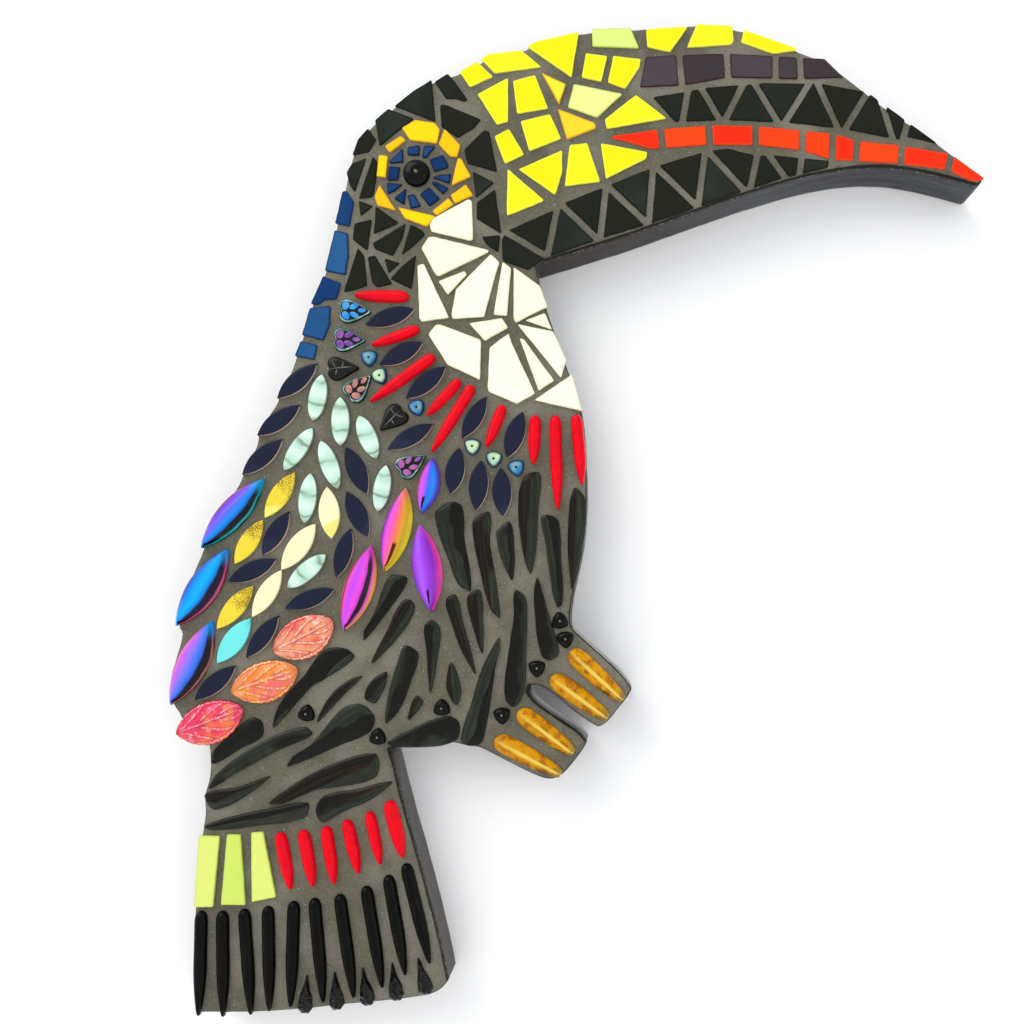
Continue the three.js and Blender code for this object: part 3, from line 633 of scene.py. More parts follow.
# ---------------------------------------------------------------- shader nodes


class Weaver:
    """Adds shader nodes to a tree and joins them."""

    def __init__(self, tree: bpy.types.NodeTree) -> None:
        """Works on one tree."""
        self.tree = tree

    def add(self, kind: str, inputs: dict[str | int, object] | None = None,
            **settings: object) -> bpy.types.Node:
        """Adds a node.

        Args:
            kind: the node's type.
            inputs: a value or another node's socket for each input.
            settings: the node's own options.

        Returns:
            The node.
        """
        node = self.tree.nodes.new(kind)
        for name, value in settings.items():
            setattr(node, name, value)
        for name, value in (inputs or {}).items():
            if isinstance(value, Socket):
                self.tree.links.new(value, node.inputs[name])
            else:
                node.inputs[name].default_value = value
        return node

    def join(self, source: Socket, shader: bpy.types.Node, socket: str) -> None:
        """Feeds a shader's socket."""
        self.tree.links.new(source, shader.inputs[socket])

    def maths(self, operation: str, first: object, second: object = 0.0) -> Socket:
        """Adds a sum, product or other operation on two values."""
        return self.add("ShaderNodeMath", {0: first, 1: second}, operation=operation).outputs[0]

    def plus(self, first: object, second: object) -> Socket:
        """Adds a sum."""
        return self.maths("ADD", first, second)

    def minus(self, first: object, second: object) -> Socket:
        """Adds a difference."""
        return self.maths("SUBTRACT", first, second)

    def times(self, first: object, second: object) -> Socket:
        """Adds a product."""
        return self.maths("MULTIPLY", first, second)

    def blend(self, first: object, second: object, share: object) -> Socket:
        """Adds a mix of two colours."""
        inputs = {0: share, 6: first, 7: second}
        return self.add("ShaderNodeMix", inputs, data_type="RGBA").outputs[2]

    def ease(self, value: object, low: object, high: object) -> Socket:
        """Adds a smooth step from 0 at low to 1 at high."""
        inputs = {"Value": value, "From Min": low, "From Max": high}
        return self.add("ShaderNodeMapRange", inputs, interpolation_type="SMOOTHSTEP").outputs[0]

    def grain(self, where: object, scale: object, detail: float = 3.0) -> Socket:
        """Adds noise on a set of coordinates."""
        inputs = {"Vector": where, "Scale": scale, "Detail": detail}
        return self.add("ShaderNodeTexNoise", inputs).outputs["Fac"]

    def ramp(self, value: object, stops: Sequence[tuple[float, Colour]]) -> Socket:
        """Adds a run of colours.

        Args:
            value: what runs along it, from 0 to 1.
            stops: each colour and its place.

        Returns:
            The colour socket.
        """
        node = self.add("ShaderNodeValToRGB", {0: value})
        band = node.color_ramp
        for _ in range(len(stops) - 2):
            band.elements.new(0.5)
        for element, (place, colour) in zip(band.elements, stops):
            element.position = place
            element.color = colour
        return node.outputs[0]

    def bump(self, height: object, strength: object, depth: float) -> Socket:
        """Adds a bump of one depth in metres."""
        inputs = {"Strength": strength, "Distance": depth, "Height": height}
        return self.add("ShaderNodeBump", inputs).outputs[0]

    def value_of(self, attribute: str) -> Socket:
        """Reads a single value that the mesh carries."""
        return self.add("ShaderNodeAttribute", attribute_name=attribute).outputs["Fac"]

    def place_of(self) -> tuple[Socket, Socket]:
        """Reads how far along and how far across a piece a point lies.

        Returns:
            The two sockets.
        """
        vector = self.add("ShaderNodeAttribute", attribute_name="place").outputs["Vector"]
        split = self.add("ShaderNodeSeparateXYZ", {0: vector})
        return split.outputs[0], split.outputs[1]

    def coordinates(self) -> Socket:
        """Reads the object's own coordinates."""
        return self.add("ShaderNodeTexCoord").outputs["Object"]

    def own_coordinates(self) -> Socket:
        """Reads the object's coordinates, moved by the piece's tone so that no two pieces match.

        Returns:
            The coordinates.
        """
        tone = self.value_of("tone")
        shift = self.add("ShaderNodeCombineXYZ", {0: tone, 1: tone, 2: tone}).outputs[0]
        return self.add("ShaderNodeVectorMath", {0: self.coordinates(), 1: shift}, operation="ADD").outputs[0]

    def looking(self, direction: tuple[float, float, float]) -> Socket:
        """Tells how far the surface looks in a direction.

        Args:
            direction: the direction.

        Returns:
            1 where it looks straight that way.
        """
        normal = self.add("ShaderNodeTexCoord").outputs["Normal"]
        node = self.add("ShaderNodeVectorMath", {0: normal, 1: direction}, operation="DOT_PRODUCT")
        return node.outputs["Value"]


@dataclass
class Effect:
    """A shader group that several finishes share."""

    name: str
    inputs: dict[str, float | tuple[float, ...]]
    outputs: dict[str, str]
    tree: bpy.types.NodeTree | None = None

    def start(self) -> tuple[Weaver, bpy.types.NodeInputs]:
        """Starts the group with its sockets.

        Returns:
            A weaver on the group's tree, and the values that the group is given.
        """
        self.tree = bpy.data.node_groups.new(self.name, "ShaderNodeTree")
        for title, value in self.inputs.items():
            kind = "Float" if isinstance(value, float) else "Color" if len(value) == 4 else "Vector"
            socket = self.tree.interface.new_socket(title, in_out="INPUT", socket_type=f"NodeSocket{kind}")
            socket.default_value = value
        for title, kind in self.outputs.items():
            self.tree.interface.new_socket(title, in_out="OUTPUT", socket_type=f"NodeSocket{kind}")
        weaver = Weaver(self.tree)
        return weaver, weaver.add("NodeGroupInput").outputs

    def weave(self, w: Weaver, given: bpy.types.NodeInputs) -> dict[str, Socket]:
        """Weaves the group's nodes.

        Args:
            w: a weaver on the group's tree.
            given: the values that the group is given.

        Returns:
            What feeds each output.
        """
        raise NotImplementedError

    def on(self, w: Weaver, **values: object) -> bpy.types.NodeOutputs:
        """Sets the group in a finish, and builds it first if no finish has used it yet.

        Args:
            w: a weaver on the finish's tree.
            values: the group's inputs, with spaces written as underscores.

        Returns:
            The group's outputs.
        """
        if self.tree is None:
            inner, given = self.start()
            inner.add("NodeGroupOutput", self.weave(inner, given))
        inputs = {title.replace("_", " "): value for title, value in values.items()}
        return w.add("ShaderNodeGroup", inputs, node_tree=self.tree).outputs


class SheetColour(Effect):
    """A sheet's body colour that drifts to a second one, its nipped edge and its slow waves; on black glass
    the second colour is a painted reflection.
    """

    def weave(self, w: Weaver, given: bpy.types.NodeInputs) -> dict[str, Socket]:
        """Weaves the sheet's colour and its waves.

        Args:
            w: a weaver on the group's tree.
            given: the values that the group is given.

        Returns:
            What feeds each output.
        """
        wave = w.grain(w.own_coordinates(), 80.0, 1.5)
        drift = w.plus(w.times(w.value_of("tone"), 0.75), w.times(wave, 0.5))
        drifted = w.ease(drift, given["Drift From"], w.plus(given["Drift From"], 0.6))
        edge = w.times(w.ease(w.value_of("rim"), 0.25, 1.0), given["Edge Share"])
        colour = w.blend(w.blend(given["Body"], given["Drift"], drifted), given["Edge"], edge)
        return {"Color": colour, "Normal": w.bump(wave, given["Ripple"], 0.002)}


class Grit(Effect):
    """The sandy roughness of grout and of brushed paint."""

    def weave(self, w: Weaver, given: bpy.types.NodeInputs) -> dict[str, Socket]:
        """Weaves coarse and fine grain.

        Args:
            w: a weaver on the group's tree.
            given: the values that the group is given.

        Returns:
            What feeds each output.
        """
        where = w.add("ShaderNodeVectorMath", {0: w.coordinates(), 1: given["Stretch"]},
                      operation="MULTIPLY").outputs[0]
        coarse, fine = w.grain(where, 70.0, 4.0), w.grain(where, given["Scale"])
        normal = w.bump(w.plus(fine, coarse), given["Strength"], 0.0005)
        return {"Coarse": coarse, "Fine": fine, "Normal": normal}


class FoilFace(Effect):
    """Foil behind a petal: two colours, dark flecks towards the head and a painted reflection on the bevels
    that face down and to the right.
    """

    def weave(self, w: Weaver, given: bpy.types.NodeInputs) -> dict[str, Socket]:
        """Weaves the foil's colours.

        Args:
            w: a weaver on the group's tree.
            given: the values that the group is given.

        Returns:
            What feeds each output.
        """
        along, across = w.place_of()
        where = w.own_coordinates()
        clouds = w.grain(where, 140.0)
        head = w.ease(w.minus(1.0, along), 0.25, 0.95)
        amount = w.times(w.plus(head, 0.25), given["Fleck Amount"])
        gate = w.times(w.minus(1.0, amount), 0.75)
        spots = w.times(w.grain(where, 2600.0, 4.0), w.plus(clouds, 0.5))
        flecks = w.ease(spots, gate, w.plus(gate, 0.07))
        run = w.plus(w.plus(along, w.value_of("tone")), w.times(across, 0.1))
        turned = w.ease(w.minus(run, w.times(clouds, 0.2)), 1.4, 1.52)
        face = w.blend(w.blend(given["Face"], given["Drift"], turned), given["Fleck"], flecks)
        # Painted reflection: the bevel colour is laid where the surface faces down and to the right.
        lit = w.times(w.ease(w.looking((0.75, 0.0, -0.66)), 0.35, 0.6), given["Bevel Share"])
        return {"Color": w.blend(face, given["Bevel"], lit)}


class JewelRun(Effect):
    """Where a point lies in a jewel's run of colours, in its painted dark reflection band and in its painted
    highlight patch.
    """

    def weave(self, w: Weaver, given: bpy.types.NodeInputs) -> dict[str, Socket]:
        """Weaves the run and the two masks.

        Args:
            w: a weaver on the group's tree.
            given: the values that the group is given.

        Returns:
            What feeds each output.
        """
        along, across = w.place_of()
        off = w.minus(along, 0.5)
        bow = w.times(w.times(off, off), 0.25)
        wobble = w.times(w.minus(w.grain(w.coordinates(), 110.0, 1.0), 0.5), 0.2)
        run = w.plus(w.plus(across, bow), wobble)
        # Painted dark reflection band: a stretch across the jewel, from a point along it onwards.
        low, high, start = given["Streak Low"], given["Streak High"], given["Streak Start"]
        left = w.ease(across, w.minus(low, 0.04), low)
        right = w.ease(across, high, w.plus(high, 0.04))
        reached = w.ease(along, start, w.plus(start, 0.05))
        reflection_streak = w.times(w.minus(left, right), reached)
        # Painted highlight patch: a soft spot around the glow's place.
        far_across = w.times(w.minus(across, given["Glow Across"]), 2.6)
        far_along = w.times(w.minus(along, given["Glow Along"]), 5.0)
        far = w.plus(w.times(far_across, far_across), w.times(far_along, far_along))
        glow = w.minus(1.0, w.ease(far, 0.25, 0.75))
        return {"Run": w.plus(w.times(run, 0.5), 0.5), "Head": w.ease(along, 0.02, 0.2),
                "Streak": reflection_streak, "Glow": glow}


class PressedColour(Effect):
    """Pressed glass over foil: two body colours, painted shade beside the raised veins, and painted glitter
    highlights on the veins and the rim.
    """

    def weave(self, w: Weaver, given: bpy.types.NodeInputs) -> dict[str, Socket]:
        """Weaves the leaf's colour and its broken surface.

        Args:
            w: a weaver on the group's tree.
            given: the values that the group is given.

        Returns:
            What feeds each output.
        """
        across = w.place_of()[1]
        relief = w.value_of("rim")
        where = w.coordinates()
        patch = w.plus(w.grain(where, 200.0, 5.0), w.times(across, -0.12))
        body = w.blend(given["Body"], given["Other"],
                       w.ease(patch, given["Other From"], w.plus(given["Other From"], 0.2)))
        # Painted shade: the grooves at the foot of each ridge darken.
        foot = w.times(w.ease(relief, 0.04, 0.3), w.minus(1.0, w.ease(relief, 0.3, 0.6)))
        body = w.blend(body, given["Groove"], w.times(foot, 0.9))
        # Painted highlight: glitter on the crests and in scattered specks.
        glint = w.plus(w.times(w.ease(w.grain(where, 900.0), 0.44, 0.62), 0.7), 0.1)
        crest_highlight = w.times(glint, w.ease(relief, 0.35, 0.8))
        glint_specks = w.times(w.ease(w.grain(where, 420.0, 4.0), 0.56, 0.68), 0.5)
        return {"Color": w.blend(body, given["Vein"], w.maths("MAXIMUM", crest_highlight, glint_specks)),
                "Normal": w.bump(w.grain(where, 520.0, 4.0), 0.6, 0.0005)}


class Mottle(Effect):
    """Faint clouds of a second colour in a bead's glass."""

    def weave(self, w: Weaver, given: bpy.types.NodeInputs) -> dict[str, Socket]:
        """Weaves the clouds."""
        spots = w.ease(w.grain(w.coordinates(), given["Scale"]), 0.4, 0.68)
        return {"Color": w.blend(given["Body"], given["Mottle"], w.times(spots, given["Share"]))}


GREY: Colour = (0.5, 0.5, 0.5, 1.0)
SHEET_COLOUR = SheetColour("sheet_colour", {
    "Body": GREY, "Drift": GREY, "Edge": GREY, "Drift From": 0.35, "Edge Share": 1.0, "Ripple": 0.1,
}, {"Color": "Color", "Normal": "Vector"})
GRIT = Grit("grit", {"Scale": 900.0, "Strength": 0.5, "Stretch": (1.0, 1.0, 1.0)},
            {"Coarse": "Float", "Fine": "Float", "Normal": "Vector"})
FOIL_FACE = FoilFace("foil_face", {
    "Face": GREY, "Drift": GREY, "Fleck": GREY, "Bevel": GREY, "Fleck Amount": 0.3, "Bevel Share": 0.5,
}, {"Color": "Color"})
JEWEL_RUN = JewelRun("jewel_run", {
    "Streak Low": 0.0, "Streak High": 0.0, "Streak Start": 2.0, "Glow Across": 3.0, "Glow Along": 3.0,
}, {"Run": "Float", "Head": "Float", "Streak": "Float", "Glow": "Float"})
PRESSED_COLOUR = PressedColour("pressed_colour", {
    "Body": GREY, "Other": GREY, "Vein": GREY, "Groove": GREY, "Other From": 0.4,
}, {"Color": "Color", "Normal": "Vector"})
MOTTLE = Mottle("mottle", {"Body": GREY, "Mottle": GREY, "Scale": 220.0, "Share": 0.6}, {"Color": "Color"})


def new_finish(name: str, **shine: object) -> tuple[Material, Weaver, bpy.types.Node]:
    """Starts a material.

    Args:
        name: the material's name.
        shine: values for the shader's own sockets, with spaces written as underscores.

    Returns:
        The material, a weaver on its tree and its shader.
    """
    material = bpy.data.materials.new(name)
    material.use_nodes = True
    weaver = Weaver(material.node_tree)
    shader = material.node_tree.nodes["Principled BSDF"]
    for socket, value in shine.items():
        shader.inputs[socket.replace("_", " ")].default_value = value
    return material, weaver, shader


@dataclass(frozen=True)
class SheetGlass:
    """Opaque sheet glass: a body colour that drifts to a second one, and an edge of its own colour. On black
    glass the second colour is a painted reflection.
    """

    name: str
    body: Colour
    drift: Colour
    edge: Colour
    roughness: float = 0.14
    ripple: float = 0.08
    specular: float = 0.25
    edge_share: float = 1.0
    drift_from: float = 0.35

    def material(self) -> Material:
        """Builds the material.

        Returns:
            The material.
        """
        made, w, shader = new_finish(self.name, Roughness=self.roughness, Specular_IOR_Level=self.specular)
        sheet = SHEET_COLOUR.on(w, Body=self.body, Drift=self.drift, Edge=self.edge,
                                Drift_From=self.drift_from, Edge_Share=self.edge_share, Ripple=self.ripple)
        w.join(sheet["Color"], shader, "Base Color")
        w.join(sheet["Normal"], shader, "Normal")
        return made


@dataclass(frozen=True)
class ChippedGlass:
    """Broken black glass with brown streaks along its length on some pieces, and a painted reflection that
    makes one flank paler, with paler streaks along it.
    """

    name: str = "chipped_glass"
    body: Colour = srgb(15, 15, 9)
    lit: Colour = srgb(33, 38, 29)
    brown: Colour = srgb(50, 32, 18)
    reflection_streak: Colour = srgb(52, 58, 48)

    def material(self) -> Material:
        """Builds the material.

        Returns:
            The material.
        """
        made, w, shader = new_finish(self.name, Roughness=0.2, Specular_IOR_Level=0.16)
        along, across = w.place_of()
        tone = w.value_of("tone")
        stretched = {0: w.times(along, 1.6), 1: w.times(across, 3.2), 2: w.times(tone, 30.0)}
        where = w.add("ShaderNodeCombineXYZ", stretched).outputs[0]
        streaks_and_reflections = w.ease(w.grain(where, 1.0, 4.0), 0.42, 0.72)
        base = w.blend(self.body, self.brown, w.times(streaks_and_reflections, w.ease(tone, 0.4, 0.9)))
        # Painted reflection: one flank of each shard turns paler, with paler streaks along it; the brown
        # streaks are the glass's own.
        pale = w.blend(self.lit, self.reflection_streak, streaks_and_reflections)
        wander = w.times(w.minus(w.grain(w.own_coordinates(), 90.0), 0.5), 0.7)
        flank = w.plus(w.times(across, w.minus(w.times(tone, 3.0), 0.8)), wander)
        w.join(w.blend(base, pale, w.ease(flank, -0.02, 0.12)), shader, "Base Color")
        return made


@dataclass(frozen=True)
class OpalGlass:
    """Milky opal glass, crossed by cloudy bands, with painted brown shade along its sides and a clear brown
    tip.
    """

    name: str = "opal_petal"
    milk: Colour = srgb(196, 238, 216)
    pale: Colour = srgb(226, 252, 240)
    cloud: Colour = srgb(116, 128, 102)
    clear: Colour = srgb(92, 76, 44)

    def material(self) -> Material:
        """Builds the material.

        Returns:
            The material.
        """
        made, w, shader = new_finish(self.name, Roughness=0.22, Specular_IOR_Level=0.25, Coat_Weight=0.1,
                                     Coat_Roughness=0.08)
        along, across = w.place_of()
        bend = w.times(w.times(across, across), 0.05)
        drift = w.times(w.grain(w.coordinates(), 190.0, 1.0), 0.2)
        run = w.plus(w.plus(along, bend), w.plus(drift, w.times(w.value_of("tone"), 1.7)))
        wave = w.maths("FRACT", w.times(run, 2.3))
        near = w.maths("ABSOLUTE", w.minus(wave, 0.5))
        band = w.minus(1.0, w.ease(near, 0.0, 0.14))
        patchy = w.ease(w.grain(w.coordinates(), 150.0, 2.0), 0.3, 0.6)
        milk = w.blend(self.milk, self.pale, w.ease(near, 0.12, 0.45))
        cloudy = w.plus(w.times(patchy, 0.45), 0.3)
        clouded = w.blend(milk, self.cloud, w.times(band, cloudy))
        # Painted shade: the sides turn the brown of the clear tip.
        side_shade = w.times(w.ease(w.value_of("rim"), 0.84, 0.93), 0.8)
        tip = w.ease(w.maths("ABSOLUTE", w.minus(along, 0.44)), 0.42, 0.54)
        clear = w.maths("MAXIMUM", w.times(tip, 0.6), side_shade)
        w.join(w.blend(clouded, self.clear, clear), shader, "Base Color")
        return made


@dataclass(frozen=True)
class FoiledPetal:
    """A petal cut from mirror-backed glass: a flat dark or bright face, with a painted copper reflection on
    the bevels that face down and to the right.
    """

    name: str
    face: Colour
    drift: Colour
    fleck: Colour
    fleck_amount: float
    bevel: Colour
    bevel_reflection_share: float

    def material(self) -> Material:
        """Builds the material.

        Returns:
            The material.
        """
        made, w, shader = new_finish(self.name, Roughness=0.12, Specular_IOR_Level=0.16)
        foil = FOIL_FACE.on(w, Face=self.face, Drift=self.drift, Fleck=self.fleck, Bevel=self.bevel,
                            Fleck_Amount=self.fleck_amount, Bevel_Share=self.bevel_reflection_share)
        w.join(foil["Color"], shader, "Base Color")
        return made


@dataclass(frozen=True)
class Iridescent:
    """Coated glass whose colour runs from side to side of a jewel, with a painted dark reflection band and a
    painted highlight patch.
    """

    name: str
    stops: tuple[tuple[float, int, int, int], ...]
    head: Colour
    # Where the painted dark reflection band lies across and from where along, and its colour.
    reflection_streak: tuple[float, float, float] = (0.0, 0.0, 2.0)
    reflection_colour: Colour = srgb(16, 4, 30)
    # Where the painted highlight patch lies and its colour; the default place lies off the jewel.
    glow: tuple[float, float] = (3.0, 3.0)
    glow_colour: Colour = srgb(0, 236, 255)

    def material(self) -> Material:
        """Builds the material.

        Returns:
            The material.
        """
        made, w, shader = new_finish(self.name, Roughness=0.1, Specular_IOR_Level=0.16, Coat_Weight=0.08,
                                     Coat_Roughness=0.04)
        stops = [(place, srgb(*colour)) for place, *colour in self.stops]
        low, high, start = self.reflection_streak
        run = JEWEL_RUN.on(w, Streak_Low=low, Streak_High=high, Streak_Start=start,
                           Glow_Across=self.glow[0], Glow_Along=self.glow[1])
        colour = w.blend(self.head, w.ramp(run["Run"], stops), run["Head"])
        colour = w.blend(colour, self.glow_colour, run["Glow"])
        w.join(w.blend(colour, self.reflection_colour, run["Streak"]), shader, "Base Color")
        return made


@dataclass(frozen=True)
class PressedGlass:
    """A pressed leaf of bright glass, with painted glitter highlights along its veins and rim and painted
    shade beside the veins.
    """

    name: str
    body: Colour
    other: Colour
    vein: Colour
    groove_shade: Colour
    other_from: float = 0.4

    def material(self) -> Material:
        """Builds the material.

        Returns:
            The material.
        """
        made, w, shader = new_finish(self.name, Roughness=0.2, Specular_IOR_Level=0.4, Coat_Weight=0.3,
                                     Coat_Roughness=0.1)
        leaf = PRESSED_COLOUR.on(w, Body=self.body, Other=self.other, Vein=self.vein, Groove=self.groove_shade,
                                 Other_From=self.other_from)
        w.join(leaf["Color"], shader, "Base Color")
        w.join(leaf["Normal"], shader, "Normal")
        return made


@dataclass(frozen=True)
class Polished:
    """A polished bead colour with faint mottling."""

    name: str
    body: Colour
    mottle: Colour
    mottle_scale: float = 220.0
    share: float = 0.6
    roughness: float = 0.2
    coat: float = 0.15
    specular: float = 0.2

    def material(self) -> Material:
        """Builds the material.

        Returns:
            The material.
        """
        made, w, shader = new_finish(self.name, Roughness=self.roughness, Specular_IOR_Level=self.specular,
                                     Coat_Weight=self.coat, Coat_Roughness=0.1)
        glass = MOTTLE.on(w, Body=self.body, Mottle=self.mottle, Scale=self.mottle_scale, Share=self.share)
        w.join(glass["Color"], shader, "Base Color")
        return made


@dataclass(frozen=True)
class BeadGlaze:
    """A glaze that turns darker towards a bead's edge, on beads of two colours."""

    name: str
    body: Colour
    pale: Colour
    edge: Colour

    def material(self) -> Material:
        """Builds the material.

        Returns:
            The material.
        """
        made, w, shader = new_finish(self.name, Roughness=0.16, Specular_IOR_Level=0.16, Coat_Weight=0.12,
                                     Coat_Roughness=0.05)
        off = w.maths("ABSOLUTE", w.minus(w.value_of("tone"), 0.45))
        is_pale = w.minus(1.0, w.ease(off, 0.24, 0.32))
        cloud = w.ease(w.grain(w.coordinates(), 260.0, 2.0), 0.35, 0.65)
        pale = w.blend(self.pale, self.body, w.times(cloud, 0.3))
        body = w.blend(self.body, self.pale, w.times(cloud, 0.3))
        colour = w.blend(body, pale, is_pale)
        rim = w.plus(w.value_of("rim"), w.times(cloud, 0.1))
        w.join(w.blend(colour, self.edge, w.ease(rim, 0.6, 0.95)), shader, "Base Color")
        return made


@dataclass(frozen=True)
class CrackledAmber:
    """Crackled amber glass: a painted highlight along its ridge, brown bands of painted shade on the lower
    flank, and clear at the tip.
    """

    name: str = "crackled_amber"
    honey: Colour = srgb(232, 162, 0)
    deep: Colour = srgb(176, 100, 0)
    brown: Colour = srgb(86, 42, 2)
    ridge: Colour = srgb(244, 220, 96)
    clear: Colour = srgb(140, 124, 60)

    def material(self) -> Material:
        """Builds the material.

        Returns:
            The material.
        """
        made, w, shader = new_finish(self.name, Roughness=0.14, Specular_IOR_Level=0.12, Coat_Weight=0.06,
                                     Coat_Roughness=0.05)
        along, across = w.place_of()
        where = w.coordinates()
        cells = w.add("ShaderNodeTexVoronoi", {"Vector": where, "Scale": 820.0}, feature="DISTANCE_TO_EDGE")
        cracks = w.minus(1.0, w.ease(cells.outputs["Distance"], 0.0, 0.16))
        body = w.blend(self.honey, self.deep, w.ease(w.grain(where, 300.0), 0.42, 0.68))
        body = w.blend(body, self.brown, w.times(cracks, 0.2))
        # Painted shade: brown bands darken the lower flank.
        flank = w.ease(w.times(across, -1.0), 0.3, 0.8)
        shade = w.times(flank, w.ease(w.grain(where, 240.0), 0.44, 0.56))
        shade = w.times(shade, w.ease(along, 0.15, 0.75))
        body = w.blend(body, self.brown, w.times(shade, 0.85))
        body = w.blend(body, self.clear, w.times(w.ease(along, 0.82, 0.98), 0.7))
        # Painted highlight: a pale stripe along the ridge.
        crest_highlight = w.minus(1.0, w.ease(w.maths("ABSOLUTE", w.plus(across, 0.04)), 0.08, 0.3))
        crest_highlight = w.times(crest_highlight, w.plus(w.times(w.ease(along, 0.0, 0.5), 0.55), 0.35))
        w.join(w.blend(body, self.ridge, crest_highlight), shader, "Base Color")
        return made


@dataclass(frozen=True)
class SandedGrout:
    """Dark grey sanded grout, smeared paler in places and painted dark at the panel's edge."""

    name: str = "sanded_grout"
    body: Colour = srgb(108, 105, 90)
    pale: Colour = srgb(142, 139, 124)
    dark: Colour = srgb(70, 66, 54)
    paint: Colour = srgb(40, 37, 33)

    def material(self) -> Material:
        """Builds the material.

        Returns:
            The material.
        """
        made, w, shader = new_finish(self.name, Roughness=0.85, Specular_IOR_Level=0.12)
        grit = GRIT.on(w, Scale=1700.0, Strength=0.6)
        smear = w.ease(w.grain(w.coordinates(), 38.0, 6.0), 0.42, 0.68)
        colour = w.blend(self.body, self.pale, w.times(smear, 0.7))
        sand = w.grain(w.coordinates(), 1100.0)
        colour = w.blend(colour, self.dark, w.times(w.ease(sand, 0.5, 0.66), 0.3))
        colour = w.blend(colour, self.pale, w.times(w.ease(grit["Fine"], 0.54, 0.66), 0.5))
        colour = w.blend(colour, self.dark, w.times(w.ease(grit["Coarse"], 0.5, 0.72), 0.3))
        edge = w.ease(w.plus(w.value_of("rim"), w.times(grit["Coarse"], 0.5)), 0.85, 1.2)
        w.join(w.blend(colour, self.paint, edge), shader, "Base Color")
        w.join(grit["Normal"], shader, "Normal")
        return made


@dataclass(frozen=True)
class BrushedPaint:
    """Near-black paint brushed along the board's edge: cooler towards the beak, with grout on its arris."""

    name: str = "brushed_paint"
    body: Colour = srgb(60, 55, 50)
    cool: Colour = srgb(72, 76, 82)
    dark: Colour = srgb(34, 29, 26)
    bare: Colour = srgb(150, 144, 128)

    def material(self) -> Material:
        """Builds the material.

        Returns:
            The material.
        """
        made, w, shader = new_finish(self.name, Roughness=0.5, Specular_IOR_Level=0.25)
        grit = GRIT.on(w, Scale=900.0, Strength=0.35, Stretch=(0.14, 1.5, 0.14))
        reach = w.add("ShaderNodeSeparateXYZ", {0: w.coordinates()}).outputs[0]
        colour = w.blend(self.body, self.cool, w.ease(reach, 0.05, 0.15))
        colour = w.blend(colour, self.dark, w.times(w.ease(grit["Fine"], 0.42, 0.62), 0.6))
        colour = w.blend(colour, self.dark, w.times(w.ease(grit["Coarse"], 0.5, 0.66), 0.6))
        spill = w.ease(w.grain(w.coordinates(), 700.0, 6.0), 0.5, 0.66)
        chips = w.times(w.ease(w.value_of("rim"), 0.6, 0.95), spill)
        w.join(w.blend(colour, self.bare, w.times(chips, 0.5)), shader, "Base Color")
        w.join(grit["Normal"], shader, "Normal")
        return made


# ---------------------------------------------------------------- the board and the grout


@dataclass
class Board:
    """The cut board, brush-painted on its edge and back, with a chipped front arris."""

    step: float = 1.2
    arris: float = 0.45
    saw_wander: float = 0.16
    chip_depth: float = 0.9
    wall_rings: tuple[float, ...] = (-20.4, -18.5, -16.0, -13.0, -10.0, -7.0, -5.0, -3.7)

    def build(self) -> Object:
        """Builds the board in place of its solid.

        Returns:
            The finished object.
        """
        outline = eased(divided(max(patch_rims("backing_board", BOARD_FRONT, 1), key=len), self.step))
        away = outward(outline)
        sculpt = Sculpt()
        rings = [sculpt.ring(outline - away * self.arris, WALL, rim=0.3)]
        for height in self.wall_rings:
            at_front = height == self.wall_rings[-1]
            saw = np.array([noise.noise(Vector((x * 0.16, z * 0.16, height * 0.35))) for x, z in outline])
            bite = np.array([noise.noise(Vector((x * 0.5, z * 0.5, 3.0))) for x, z in outline])
            depth = (saw - 0.6) * self.saw_wander
            if at_front:
                depth = depth - np.maximum(0.0, bite - 0.25) * self.chip_depth
            rings.append(sculpt.ring(outline + away * depth[:, None], height, rim=float(at_front)))
        rings.append(sculpt.ring(outline - away * (self.arris + 0.3), BOARD_FRONT, rim=1.0))
        sculpt.stack(rings)
        sculpt.face(rings[0][::-1], crisp=True)
        sculpt.face(rings[-1], crisp=True)
        board = sculpt.made("board", BrushedPaint().material())
        settle(board, ["backing_board"])
        return board


